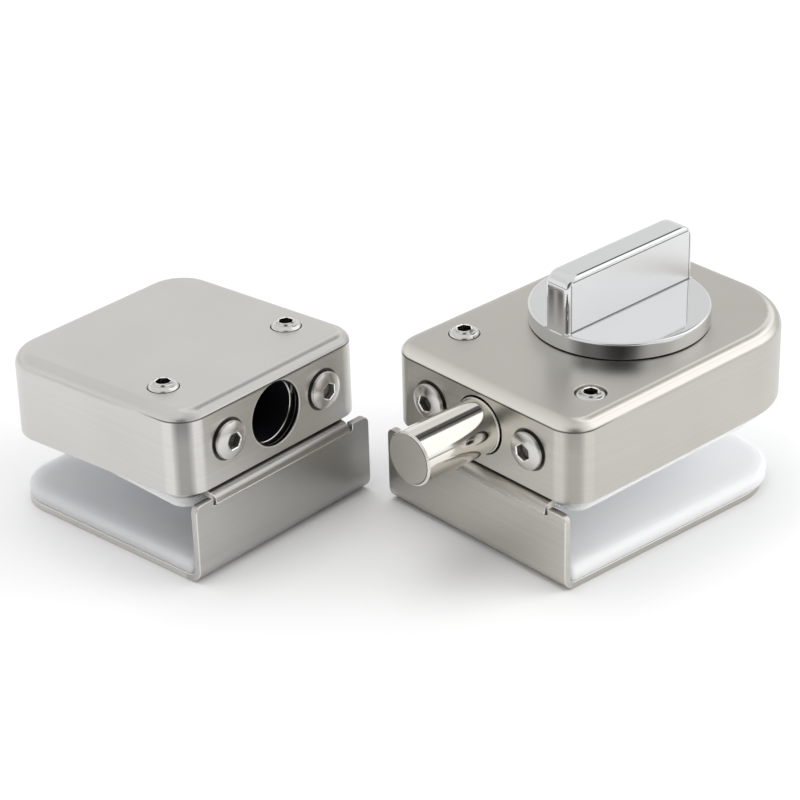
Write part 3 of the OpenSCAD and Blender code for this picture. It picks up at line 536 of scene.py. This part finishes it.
# %% The bolt's plating
def bolt_plating():
    """Polished along its length. The sawn end is darker and rougher, with fine rings about the
    axis, and painted shade in a dark line inside its chamfer on one side, where no groove is cut."""
    metal = Finish("polished_bolt", Metallic=1.0, IOR=1.5)
    across, radius = metal.along(BOLT_UNIT, 1), ring_about(metal, BOLT_UNIT, 0)
    sawn = metal.along(BOLT_UNIT, 0).step(BOLT_TIP - 0.12, BOLT_TIP - 0.04)
    rings = metal.node("ShaderNodeTexNoise", {"noise_dimensions": "1D"},
                       {"W": radius, "Scale": 9.0, "Detail": 2.0})
    ring = Num(metal, rings.outputs["Fac"])
    haze = metal.noise(metal.place(0, (40, 400, 400)), 1, 3, 0.6)
    spots = metal.noise(metal.place(), 260, 3, 0.6).step(0.55, 0.75)
    jag = metal.noise(metal.place(), 1100, 3, 0.6)
    side = metal.blend(haze, tinted(0.74, WARM), tinted(0.82, WARM))
    end = metal.blend(ring, tinted(0.40, WARM), tinted(0.60, WARM))
    # Painted shade: a dark line inside the chamfer, on one side only.
    groove = radius.step(4.84, 4.9) * radius.step(5.14, 5.08) * across.step(0, 2.5) * sawn
    end = metal.blend(groove * 0.9, end, tinted(0.03, WARM))
    rough = (0.06 + haze * 0.06 + spots * 0.10) * (1 - sawn) + (0.26 + ring * 0.2) * sawn
    relief = (haze * 0.3 + jag * 0.5) * (1 - sawn) + ring * sawn
    metal.set(Base_Color=metal.blend(sawn, side, end), Roughness=rough,
              Normal=metal.bump(relief, 0.00003, 0.35))
    return metal.material


BOLT_PLATE = bolt_plating()
print("bolt:", BOLT_PLATE.name)

# %% Turned screws and hidden metals
def turned_screw(name, tone, tint, rough):
    """Turned heads. The hexagon's lip has a painted highlight, and its walls painted shade inside.
    Each vertex of a screw says in `depth` how far inside it is: 0 outside, 0.17 at the lip and 1 at
    the foot."""
    metal = Plated(name)
    depth = metal.node("ShaderNodeAttribute", {"attribute_name": "depth"})
    inside = Num(metal, depth.outputs["Fac"])
    # Painted shade deep in the socket, and a painted highlight on its lip.
    dark, lip = inside.step(0.3, 0.9), inside.step(0.05, 0.15) * inside.step(0.3, 0.2)
    colour = metal.blend(lip, metal.hazy(tone, tint, 0.94), tinted(0.95, tint))
    return metal.done(metal.blend(dark * 0.8, colour, tinted(0.12, tint)),
                      rough + metal.marks() * 0.12)


def plain_metal(name, dark, light, rough):
    metal = Finish(name, Metallic=1.0)
    grain = metal.noise(metal.place(), 700, 4, 0.6)
    cloud = metal.noise(metal.place(), 120, 3, 0.6)
    metal.set(Base_Color=metal.blend(grain * 0.5 + cloud * 0.5, (*dark, 1), (*light, 1)),
              Roughness=rough + grain * 0.2,
              Normal=metal.bump(grain, 0.00002, 0.4))
    return metal.material


SCREW_STEEL = turned_screw("turned_screw", 0.66, NEUTRAL, 0.18)
CHROME = turned_screw("set_screw_chrome", 0.68, NEUTRAL, 0.07)
ZINC = plain_metal("zinc", (0.36, 0.36, 0.38), (0.55, 0.55, 0.57), 0.38)
BRASS = plain_metal("brass", (0.52, 0.38, 0.16), (0.78, 0.60, 0.30), 0.28)
print("screws:", SCREW_STEEL.name, CHROME.name, "hidden:", ZINC.name, BRASS.name)

# %% [markdown]
# ## Black plastic and clear pads
#
# The socket is lined with moulded black plastic, with the fine grain of its mould. The pads are
# soft clear plastic that has gone a little milky: light goes in and scatters, so they look
# pale blue-white and slightly brighter at their edges. The strike's lower pad is the same plastic
# in a darker colour, painted shade.

# %% Plastics
def black_plastic():
    plastic = Finish("moulded_black", IOR=1.5)
    grain = plastic.noise(plastic.place(), 1500, 3, 0.6)
    cloud = plastic.noise(plastic.place(), 150, 2, 0.5)
    colour = plastic.blend(cloud, (0.006, 0.006, 0.008, 1), (0.014, 0.014, 0.018, 1))
    plastic.set(Base_Color=colour,
                Roughness=0.3 + grain * 0.25,
                Normal=plastic.bump(grain, 0.00003, 0.5))
    return plastic.material


COOL = (0.975, 0.99, 1.01)


def clear_pad(name, low, high):
    pad = Finish(name, IOR=1.45)
    cloud = pad.noise(pad.place(), 60, 3, 0.55)
    grain = pad.noise(pad.place(), 1100, 2, 0.5)
    pad.set(Base_Color=pad.blend(cloud, tinted(low, COOL), tinted(high, COOL)),
            Roughness=0.34 + cloud * 0.12,
            Normal=pad.bump(grain, 0.00002, 0.3))
    pad.set(Subsurface_Weight=0.6, Subsurface_Scale=0.003, Subsurface_Radius=(1.0, 1.0, 1.1))
    return pad.material


BLACK = black_plastic()
PAD = clear_pad("clear_soft_plastic", 0.93, 0.96)
# The same plastic darker: painted shade for the strike's lower pad.
SHADED_PAD = clear_pad("clear_soft_plastic_dull", 0.64, 0.73)

paper = Finish("pale_floor", IOR=1.3, Specular_IOR_Level=0.1)
mottle = paper.noise(paper.place(), 4, 2, 0.5)
white = paper.blend(mottle, (0.90, 0.90, 0.90, 1), (0.93, 0.93, 0.93, 1))
paper.set(Base_Color=white, Roughness=0.9)
floor.data.materials.append(paper.material)
print("plastics and floor ready")

# %% [markdown]
# ## Metal pieces with broken edges
#
# The solid model's shapes are right, but its edges are perfectly sharp, and real edges are
# broken by a tenth of a millimetre and catch the light. A copy of each visible metal piece is
# merged, its flat faces are joined again, and a narrow bevel goes on every edge. The copy then
# stands for the solid, which stays hidden.

# %% New pieces on their bodies
def in_scene(name, mesh, body, slot, *nodes):
    """A new piece on a body. It stands for the solid pieces that are named, if there are any."""
    made = bpy.data.objects.new(name, mesh)
    bpy.context.scene.collection.objects.link(made)
    if nodes:
        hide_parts(*nodes)
    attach(made, body)
    return made


SLOTS = {part["node"]: part["material_slot"] for part in frame["record"]["subparts"]}
print("slots:", ", ".join(sorted(set(SLOTS.values()))))

# %% The crease under the rounded top
def crease_top(work, unit):
    """Sets the walls in a little below the rounded top, so that the rounding ends in a clear line.

    The set-back is full round the front and its corners, and fades out along the sides."""
    inverse, near = unit.inverted(), 0.002
    cuts = [((0, 0, CREASE_Z), (0, 0, 1))]
    cuts += [((-FRONT_R - back, 0, 0), (1, 0, 0)) for back in range(0, int(CREASE_FADE) + 1, 3)]
    for point, normal in cuts:
        # Only the level cut goes through the rounding. The others leave it and the top alone.
        level = normal[2] == 1
        cut = [face for face in work.faces
               if level or (inverse @ face.calc_center_median()).z < CREASE_Z * MM]
        parts = {part for face in cut for part in [face, *face.edges, *face.verts]}
        bmesh.ops.bisect_plane(work, geom=list(parts), dist=1e-7,
                               plane_co=unit @ (Vector(point) * MM),
                               plane_no=unit.to_3x3() @ Vector(normal))
    rim = set()
    for vert in work.verts:
        x, y, z = (inverse @ vert.co) / MM
        if z > CREASE_Z + near:
            continue
        fade = min(1, max(0, (x + FRONT_R + CREASE_FADE) / CREASE_FADE))
        out_x, out_y = max(x + FRONT_R, 0), max(abs(y) - CASE_HALF + FRONT_R, 0)
        reach, limit = math.hypot(out_x, out_y), FRONT_R - CREASE_INSET * fade
        if reach < limit - 0.02:
            continue
        if z > CREASE_Z - near and fade > 0.1:
            rim.add(vert)
        if reach > limit:
            if out_x:
                x = out_x * limit / reach - FRONT_R
            if out_y:
                y = math.copysign(out_y * limit / reach + CASE_HALF - FRONT_R, y)
            vert.co = unit @ (Vector((x, y, z)) * MM)
    for edge in work.edges:
        edge.smooth = not (edge.verts[0] in rim and edge.verts[1] in rim)


print("the walls set in by", CREASE_INSET, "mm below", round(CREASE_Z, 2), "mm")

# %% Cases and clamp plates
def broken_edges(node, name, material, width=0.12, sharp=32, unit=None):
    """Stands for a solid. Edges sharper than `sharp` degrees get a bevel of `width` millimetres,
    and a case, which comes with its unit, gets the crease under its top."""
    mesh = frame["nodes"][node].data.copy()
    mesh.name = name
    work = bmesh.new()
    work.from_mesh(mesh)
    bmesh.ops.remove_doubles(work, verts=work.verts, dist=2e-5)
    bmesh.ops.dissolve_limit(work, angle_limit=math.radians(0.4),
                             verts=work.verts, edges=work.edges)
    for part in work.faces[:] + work.edges[:]:
        part.smooth = True
    if unit:
        crease_top(work, unit)
    work.to_mesh(mesh)
    work.free()
    mesh.materials.clear()
    mesh.materials.append(material)
    mesh.materials.append(EDGE_STEEL)
    made = in_scene(name, mesh, frame["nodes"][node]["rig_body"], SLOTS[node], node)
    bevel = made.modifiers.new("broken edges", "BEVEL")
    bevel.width, bevel.segments = width * MM, 2
    bevel.limit_method, bevel.angle_limit = "ANGLE", math.radians(sharp)
    bevel.use_clamp_overlap, bevel.harden_normals = False, False
    # The bevels take the edge material, with its painted highlight.
    bevel.material = 1
    weigh = made.modifiers.new("even shading", "WEIGHTED_NORMAL")
    weigh.keep_sharp = True
    weigh.weight = 85
    print(name, len(mesh.polygons), "faces before its edges are broken")
    return made


PLATE_EDGE = 0.18
broken_edges("bolt_case", "bolt_case_satin", STEEL_OF_BOLT, unit=BOLT_UNIT)
broken_edges("strike_case", "strike_case_satin", STEEL_OF_STRIKE, unit=STRIKE_UNIT)
broken_edges("bolt_clamp_plate", "bolt_clamp_plate_satin", STEEL_OF_BOLT, PLATE_EDGE)
broken_edges("strike_clamp_plate", "strike_clamp_plate_satin", STEEL_OF_STRIKE, PLATE_EDGE)

# %% The bolt
def slim_chamfer(mesh, wide, narrow):
    """Makes the chamfer at the bolt's tip narrower, as it is on the real bolt."""
    near = 0.05
    for vert in mesh.vertices:
        x, y, z = (BOLT_UNIT.inverted() @ vert.co) / MM
        if x > BOLT_TIP - wide - near:
            radius = math.hypot(y, z - AXIS_Z)
            if x > BOLT_TIP - near:
                y, z = [v * (radius + wide - narrow) / radius for v in (y, z - AXIS_Z)]
                z += AXIS_Z
            else:
                x = BOLT_TIP - narrow
            vert.co = BOLT_UNIT @ (Vector((x, y, z)) * MM)


rod = broken_edges("bolt_rod", "bolt_rod_polished", BOLT_PLATE, width=0.08, sharp=25)
slim_chamfer(rod.data, wide=0.6, narrow=0.3)

# %% [markdown]
# ## The pieces inside
#
# The pieces inside hardly show, except through the holes and the open mouths of the cases. Their
# solids are good as they are, and each only gets the metal or plastic that it is made of.

# %% Finishes of the inner pieces
FINISH_OF_SLOT = {
    "satin_steel": STEEL_OF_BOLT, "bright_steel": SCREW_STEEL, "polished_knob": KNOB_PLATE,
    "zinc": ZINC, "brass": BRASS, "black_plastic": BLACK, "clear_pad": PAD}
for node, made in frame["nodes"].items():
    made.data.materials.clear()
    made.data.materials.append(FINISH_OF_SLOT[SLOTS[node]])
print("inner pieces finished:", sum(not o.hide_render for o in frame["nodes"].values()))

# %% [markdown]
# ## The clear pads
#
# Each unit grips the glass between two soft pads. A pad is cut from clear sheet: its glass side
# has a rounded edge, its middle stands a little proud, and its cut edge pulls in slightly
# halfway. Rings of points follow the pad's outline, from the middle of one side over the edge to
# the middle of the other, and faces join each ring to the next.

# %% Meshes from rings of points
def join_rings(work, first, second):
    for i in range(len(first)):
        j = (i + 1) % len(first)
        work.faces.new((first[i], first[j], second[j], second[i]))


def mesh_of(name, work, sharp=None):
    """The finished mesh: faces outwards, smooth but for its flat ends, and with an edge wherever
    two faces meet at more than `sharp` degrees."""
    bmesh.ops.recalc_face_normals(work, faces=work.faces)
    for face in work.faces:
        face.smooth = len(face.verts) < 5
    mesh = bpy.data.meshes.new(name)
    work.to_mesh(mesh)
    work.free()
    if sharp:
        mesh.set_sharp_from_angle(angle=math.radians(sharp))
    return mesh


def quarter(steps):
    """The angles of a quarter turn, from 0 on, with both ends."""
    return [math.pi / 2 * i / steps for i in range(steps + 1)]


def outline(back, front, width, r_back, r_front, steps=14):
    """A rectangle's outline with rounded corners. Each point is given as the centre of its
    corner, the direction from that centre, and the corner's radius."""
    corners = [(back, -1, r_back, 180), (front, -1, r_front, 270),
               (front, 1, r_front, 0), (back, 1, r_back, 90)]
    points = []
    for x, side, r, start in corners:
        cx = x + (r if x == back else -r)
        cy = side * (width / 2 - r)
        for i in range(steps + 1):
            angle = math.radians(start + 90 * i / steps)
            points.append((cx, cy, math.cos(angle), math.sin(angle), r))
    return points


print("a narrow fillet turns in steps of", round(math.degrees(quarter(6)[1])), "degrees")

# %% Soft pads
def pad_profile(thick):
    """How far each ring lies outside the outline and how high, from the glass side over the
    rounded edge and the cut edge to the back."""
    crown, crown_half, edge = 0.10, 14, 1.5
    profile = [(-r, thick + crown * (1 - (r / crown_half) ** 2)) for r in (12, 8, 5, 3, 1.8)]
    profile += [(-edge + edge * math.sin(a), thick - edge + edge * math.cos(a))
                for a in quarter(7)]
    return profile + [(-0.06, thick * 0.4), (-0.08, thick * 0.25), (-0.03, 0.25), (-0.12, 0.08),
                      (-0.3, 0), (-3, 0), (-8, 0)]


def soft_pad(node, matrix, ends, width, radii, heights, glass_up, body):
    """A pad for the solid `node`. Its ends and the radii of its corners go from back to front,
    and its heights from low to high, all in the directions of `matrix`."""
    (back, front), (low, high) = ends, heights
    points = outline(back, front, width, *radii)
    mid_x, half_x, half_y = (back + front) / 2, (front - back) / 2, width / 2
    work = bmesh.new()
    rings = []
    for push, z in pad_profile(high - low):
        ring = []
        for cx, cy, ux, uy, r in points:
            x, y = cx + ux * r, cy + uy * r
            if push < -r:
                # Further in than the corner's centre, the whole outline shrinks instead.
                x = mid_x + (x - mid_x) * ((half_x + push) / half_x)
                y = y * ((half_y + push) / half_y)
            else:
                x, y = x + ux * push, y + uy * push
            height = low + z if glass_up else high - z
            ring.append(work.verts.new((x * MM, y * MM, height * MM)))
        rings.append(ring)
    for above, below in zip(rings, rings[1:]):
        join_rings(work, above, below)
    work.faces.new(rings[0])
    work.faces.new(reversed(rings[-1]))
    bmesh.ops.remove_doubles(work, verts=work.verts, dist=1e-7)
    name = node + "_clear"
    mesh = mesh_of(name, work)
    mesh.transform(matrix)
    # The strike's lower pad takes the darker copy, painted shade.
    mesh.materials.append(SHADED_PAD if body == "strike_unit" else PAD)
    made = in_scene(name, mesh, body, "clear_pad", node)
    print(name, len(mesh.polygons), "faces")


print("pads ready to be placed, each from", len(pad_profile(3)), "rings of points")

# %% Pads in place
LOWER_FRONT, LOWER_W, LEAF_TOP = -0.2, 48.2, 1.5
soft_pad("bolt_lower_pad", BOLT_LEAF, (-63.05, LOWER_FRONT), LOWER_W, (12, 1.6),
         (LEAF_TOP, 4.75), True, "bolt_unit")
soft_pad("strike_lower_pad", STRIKE_LEAF, (-50.65, LOWER_FRONT), LOWER_W, (9, 1.6),
         (LEAF_TOP, 4.25), True, "strike_unit")
UPPER_FRONT, UPPER_W, UPPER_TOP = -3.2, 45.4, 16.5
soft_pad("bolt_upper_pad", BOLT_UNIT, (-66.2, UPPER_FRONT), UPPER_W, (15.7, 3.7),
         (PRESS_Z, UPPER_TOP), False, "bolt_clamp")
soft_pad("strike_upper_pad", STRIKE_PRESS, (-47.7, UPPER_FRONT), UPPER_W, (6.2, 3.7),
         (PRESS_Z, UPPER_TOP), False, "strike_clamp")

# %% [markdown]
# ## Screws
#
# The same two screws show on both units: domed heads with a hexagon socket beside the bolt, and
# headless set screws in the top, each pair screwed in until tight, so that every hexagon stopped
# at its own angle. One domed screw serves both units, and each unit has set screws of its own
# length. Geometry Nodes put the pairs in place and turn each screw by a fixed random amount.

# %% Turned shapes and hexagons
SCREW_STEPS = 48


def lathe(work, profile, steps=SCREW_STEPS):
    """Turns a profile of (radius, height) points in millimetres about the upright axis."""
    rings = []
    for radius, height in profile:
        if radius < 1e-6:
            rings.append([work.verts.new((0, 0, height * MM))])
        else:
            angles = [2 * math.pi * i / steps for i in range(steps)]
            rings.append([work.verts.new((radius * math.cos(a) * MM, radius * math.sin(a) * MM,
                                          height * MM)) for a in angles])
    for above, below in zip(rings, rings[1:]):
        for i in range(steps):
            j = (i + 1) % steps
            loop = [above[i % len(above)], above[j % len(above)],
                    below[j % len(below)], below[i % len(below)]]
            unique = list(dict.fromkeys(loop))
            if len(unique) > 2:
                work.faces.new(unique)
    return rings


def hexagon(work, across, height):
    """A six-sided ring with as many points as a turned ring, so that the two can be joined."""
    ring = []
    for i in range(SCREW_STEPS):
        a = 2 * math.pi * i / SCREW_STEPS
        part = a % (math.pi / 3) - math.pi / 6
        radius = across / 2 / math.cos(part)
        ring.append(work.verts.new((radius * math.cos(a) * MM, radius * math.sin(a) * MM,
                                    height * MM)))
    return ring


print("the corners of a 3 mm hexagon lie", round(3 / math.cos(math.pi / 6), 2), "mm apart")

# %% Screws from their profiles
def screw_mesh(name, outside, across, top, depth, material):
    """A turned outside, and a hexagon socket with a small lead-in chamfer and a drilled bottom.

    The socket is `across` its flats and `depth` deep from `top`, the height of the first ring."""
    work = bmesh.new()
    mark = work.verts.layers.float.new("depth")
    rings = lathe(work, outside)
    lip = hexagon(work, across + 0.34, top - 0.02)
    wall = hexagon(work, across, top - 0.16)
    foot = hexagon(work, across, top - depth)
    join_rings(work, rings[0], lip)
    join_rings(work, lip, wall)
    join_rings(work, wall, foot)
    tip = work.verts.new((0, 0, (top - depth - 0.35) * MM))
    for i in range(len(foot)):
        work.faces.new((foot[i], foot[(i + 1) % len(foot)], tip))
    for ring, value in [(lip, 0.17), (wall, 0.17), (foot, 1.0), ([tip], 1.0)]:
        for vert in ring:
            vert[mark] = value
    mesh = mesh_of(name, work, sharp=30)
    mesh.materials.append(material)
    return mesh


def button_profile():
    """A flat dome, a low rim with a groove under it, and an M4 shank."""
    head_r, head_h, rim, shank_r, shank = 3.75, 1.65, 0.8, 2.0, 7.4
    rise = head_h - rim
    dome_r = (rise ** 2 + head_r ** 2) / (2 * rise)
    dome = [(r, math.sqrt(dome_r ** 2 - r ** 2) + head_h - dome_r)
            for r in (1.85, 1.95, 2.2, 2.5, 2.8, 3.1, 3.35, 3.55, 3.66)]
    edge = [(3.73, 0.73), (head_r, 0.65), (head_r, 0.12), (3.69, 0.05), (3.4, 0.02), (3.4, -0.25)]
    return dome + edge + [(shank_r, -0.3), (shank_r, 0.2 - shank), (1.8, -shank), (0, -shank)]


def set_screw_profile(length):
    """A small raised collar round the socket, the M6 thread's outside, and a cone point."""
    thread_r, point_r, point = 2.95, 1.75, 1.2
    collar = [(1.56, 0.0), (1.66, -0.02), (1.8, -0.1), (1.86, -0.42), (1.92, -0.5), (2.4, -0.56),
              (2.6, -0.66), (2.86, -1.0)]
    return collar + [(thread_r, -1.15), (thread_r, point - length), (point_r, -length),
                     (0, -length)]


outside = button_profile()
button = screw_mesh("button_screw", outside, 3.0, outside[0][1], 1.5, SCREW_STEEL)
print("screw heads:", len(button.polygons), "faces each")

# %% The tree that sets a pair of screws
def screw_pair_tree():
    """Two points across the unit, a screw on each, its own turn and sink, and then real meshes."""
    tree = bpy.data.node_groups.new("screw_pair", "GeometryNodeTree")
    face = tree.interface
    sockets = {}
    for name, kind, value in [
            ("Screw", "NodeSocketObject", None),
            ("Half spacing", "NodeSocketFloat", FACE_SCREW_Y * MM),
            ("Sink of the second", "NodeSocketFloat", 0.0),
            ("Seed", "NodeSocketInt", 1),
            ("Finish", "NodeSocketMaterial", None)]:
        made = face.new_socket(name, in_out="INPUT", socket_type=kind)
        if value is not None:
            made.default_value = value
        sockets[name] = made.identifier
    face.new_socket("Geometry", in_out="OUTPUT", socket_type="NodeSocketGeometry")
    node, link = tree.nodes.new, tree.links.new
    given, result = node("NodeGroupInput"), node("NodeGroupOutput")

    def times(name, factor):
        made = node("ShaderNodeMath")
        made.operation = "MULTIPLY"
        made.inputs[1].default_value = factor
        link(given.outputs[name], made.inputs[0])
        return made.outputs[0]

    def vector(**parts):
        made = node("ShaderNodeCombineXYZ")
        for axis, socket in parts.items():
            link(socket, made.inputs[axis])
        return made.outputs[0]

    line = node("GeometryNodeMeshLine")
    line.mode = "OFFSET"
    line.inputs["Count"].default_value = 2
    link(vector(Y=times("Half spacing", -1)), line.inputs["Start Location"])
    link(vector(Y=times("Half spacing", 2), Z=times("Sink of the second", -1)),
         line.inputs["Offset"])
    info = node("GeometryNodeObjectInfo")
    info.inputs["As Instance"].default_value = True
    link(given.outputs["Screw"], info.inputs["Object"])
    chance = node("FunctionNodeRandomValue")
    chance.data_type = "FLOAT"
    chance.inputs[2].default_value, chance.inputs[3].default_value = 0, math.radians(60)
    link(given.outputs["Seed"], chance.inputs["Seed"])
    put = node("GeometryNodeInstanceOnPoints")
    link(line.outputs["Mesh"], put.inputs["Points"])
    link(info.outputs["Geometry"], put.inputs["Instance"])
    link(vector(Z=chance.outputs[1]), put.inputs["Rotation"])
    real = node("GeometryNodeRealizeInstances")
    link(put.outputs[0], real.inputs[0])
    dress = node("GeometryNodeSetMaterial")
    link(real.outputs[0], dress.inputs["Geometry"])
    link(given.outputs["Finish"], dress.inputs["Material"])
    link(dress.outputs[0], result.inputs[0])
    return tree, sockets


PAIR_TREE, PAIR = screw_pair_tree()
print("inputs of the tree:", ", ".join(PAIR))

# %% Pairs of screws in place
def screw_pair(node, mesh, half, sink, seed, material, matrix, body):
    """Two screws for the solid `node`, `half` of their spacing to either side of the unit's
    middle. The second sits `sink` lower."""
    name = node + "_turned"
    model = bpy.data.objects.new("one_screw", mesh)
    bpy.context.scene.collection.objects.link(model)
    carrier = bpy.data.objects.new("carrier", bpy.data.meshes.new("carrier"))
    bpy.context.scene.collection.objects.link(carrier)
    grow = carrier.modifiers.new("pair", "NODES")
    grow.node_group = PAIR_TREE
    for label, value in [("Screw", model), ("Half spacing", half * MM),
                         ("Sink of the second", sink * MM), ("Seed", seed), ("Finish", material)]:
        grow[PAIR[label]] = value
    carrier.update_tag()
    depsgraph = bpy.context.evaluated_depsgraph_get()
    depsgraph.update()
    pair = bpy.data.meshes.new_from_object(carrier.evaluated_get(depsgraph))
    carrier.modifiers.clear()
    bpy.data.objects.remove(carrier)
    bpy.data.objects.remove(model)
    pair.name = name
    pair.transform(matrix)
    in_scene(name, pair, body, "bright_steel", node)
    print(name, len(pair.polygons), "faces")


def on_front(unit, x):
    """A place on the bolt's axis, facing forward."""
    return unit @ Matrix.Translation(Vector((x, 0, AXIS_Z)) * MM) @ FACING


def on_top(unit, x, z):
    return unit @ Matrix.Translation(Vector((x, 0, z)) * MM)


FACE_SCREW_GAP = 0.05
screw_pair("bolt_face_screws", button, FACE_SCREW_Y, 0, 4, SCREW_STEEL,
           on_front(BOLT_UNIT, FACE_SCREW_GAP), "bolt_unit")
screw_pair("strike_face_screws", button, FACE_SCREW_Y, 0, 9, SCREW_STEEL,
           on_front(STRIKE_UNIT, FACE_SCREW_GAP), "strike_unit")
SET_SCREW_Y, SET_SCREW_TOP, SINK = 16.8, CASE_TOP + 1.2, 0.85
for unit, matrix, body, sink, tip_z, seed in [
        ("bolt", BOLT_UNIT, "bolt_clamp", SINK, 17.75 + SINK, 3),
        ("strike", STRIKE_UNIT, "strike_clamp", 0.0, 18.05, 12)]:
    profile = set_screw_profile(SET_SCREW_TOP - tip_z)
    grub = screw_mesh(unit + "_set_screw", profile, 2.6, 0.0, 2.6, CHROME)
    screw_pair(unit + "_set_screws", grub, SET_SCREW_Y, sink, seed, CHROME,
               on_top(matrix, SET_SCREW_X, SET_SCREW_TOP), body)

# %% [markdown]
# ## The thumbturn
#
# A round base with a straight fin across it. Its mirror finish shows every change of curve, so it
# is built again with the roundings that the photograph shows: soft upright edges at the fin's two
# ends, which stand flush with the base's rim, and a very narrow fillet at its foot. The base is
# turned, the fin is a stack of rounded outlines, and a union joins them.

# %% The fin
FIN_BACK = 0.02


def fin_outline(work, height, long, half, corner):
    """A rounded rectangle whose ends bulge like the rim of the base and stay just inside it."""
    ring, limit = [], KNOB_R - FIN_BACK
    for cx, cy, ux, uy, r in outline(-long, long, 2 * half, corner, corner, 8):
        x, y = cx + ux * r, cy + uy * r
        x -= math.copysign(KNOB_R - math.sqrt(KNOB_R ** 2 - y ** 2), x) * min(1, abs(x) / 10)
        reach = math.hypot(x, y)
        if reach > limit:
            x, y = [v * limit / reach for v in (x, y)]
        ring.append(work.verts.new((x * MM, y * MM, height * MM)))
    return ring


def fin_mesh():
    """Rings from the buried foot over the narrow fillet and up to the rounded top."""
    buried, foot, edge, end, corner = 1.5, 0.3, 0.9, 3.0, 1.0
    levels = [(buried, foot, 0, 0)]
    levels += [(KNOB_BASE + foot * (1 - math.cos(a)), foot * (1 - math.sin(a)), 0, 0)
               for a in quarter(6)]
    for a in quarter(18):
        drop = end * (1 - math.sin(a))
        in_x = end - math.sqrt(end ** 2 - (end - drop) ** 2)
        in_y = edge - math.sqrt(edge ** 2 - (edge - drop) ** 2) if drop < edge else 0
        levels.append((KNOB_TOP - drop, 0, in_x, in_y))
    work = bmesh.new()
    rings = [fin_outline(work, z, KNOB_R - FIN_BACK + grow - in_x, FIN_HALF + grow - in_y, corner)
             for z, grow, in_x, in_y in levels]
    for low, high in zip(rings, rings[1:]):
        join_rings(work, low, high)
    work.faces.new(rings[0])
    work.faces.new(reversed(rings[-1]))
    return mesh_of("fin", work)


fin = fin_mesh()
print("fin:", len(fin.polygons), "faces")

# %% The base
def base_mesh():
    """A disc with a rounded rim, hollow underneath where the spindle's bush stands up."""
    round_r, broken, hollow_r, hollow = 0.5, 0.2, 7.5, 1.35
    rim = [(KNOB_R - round_r + round_r * math.sin(a), KNOB_BASE - round_r + round_r * math.cos(a))
           for a in quarter(6)]
    work = bmesh.new()
    lathe(work, [(0, KNOB_BASE)] + rim + [(KNOB_R, broken), (KNOB_R - broken, 0), (hollow_r, 0),
                                          (hollow_r, hollow), (0, hollow)], 160)
    return mesh_of("knob_base", work)


base = base_mesh()
print("base:", len(base.polygons), "faces")

# %% The two in one piece
def union(first, second):
    """One closed mesh from two that run into each other."""
    parts = [bpy.data.objects.new(mesh.name, mesh) for mesh in (first, second)]
    for part in parts:
        bpy.context.scene.collection.objects.link(part)
    join = parts[0].modifiers.new("union", "BOOLEAN")
    join.operation, join.solver, join.object = "UNION", "EXACT", parts[1]
    depsgraph = bpy.context.evaluated_depsgraph_get()
    depsgraph.update()
    joined = bpy.data.meshes.new_from_object(parts[0].evaluated_get(depsgraph))
    for part in parts:
        part.modifiers.clear()
        bpy.data.objects.remove(part)
    return joined


knob_mesh = union(base, fin)
knob_mesh.name = "knob_polished"
for polygon in knob_mesh.polygons:
    polygon.use_smooth = True
knob_mesh.set_sharp_from_angle(angle=math.radians(50))
knob_mesh.materials.clear()
knob_mesh.materials.append(KNOB_PLATE)
knob_mesh.transform(BOLT_UNIT @ Matrix.Translation(KNOB_AT * MM))
knob = in_scene("knob_polished", knob_mesh, frame["nodes"]["knob"]["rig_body"],
                SLOTS["knob"], "knob")
knob.modifiers.new("even shading", "WEIGHTED_NORMAL").keep_sharp = True
print("thumbturn:", len(knob_mesh.polygons), "faces")

# %% [markdown]
# ## The edge inside the socket
#
# The tab of the clamp plate lies behind the case's front, and the edge of its opening
# shows in the hole as a thin bright arc. A slim turned ring stands for that edge, and its bright
# polished colour is a painted highlight.

# %% Painted highlight on the edge in the socket's mouth
def edge_ring():
    inner, outer, x, thick, broken = 6.32, 6.56, -2.78, 0.2, 0.08
    work = bmesh.new()
    lathe(work, [(inner, 0), (outer, 0), (outer, thick), (inner + broken, thick),
                 (inner, thick - broken), (inner, 0)], 96)
    bmesh.ops.remove_doubles(work, verts=work.verts, dist=1e-7)
    mesh = mesh_of("socket_edge", work, sharp=30)
    mesh.transform(on_front(STRIKE_UNIT, x))
    mesh.materials.append(SOCKET_EDGE)
    return in_scene("socket_edge_rubbed", mesh, "strike_unit", "bright_steel")


print("socket's edge:", len(edge_ring().data.polygons), "faces")
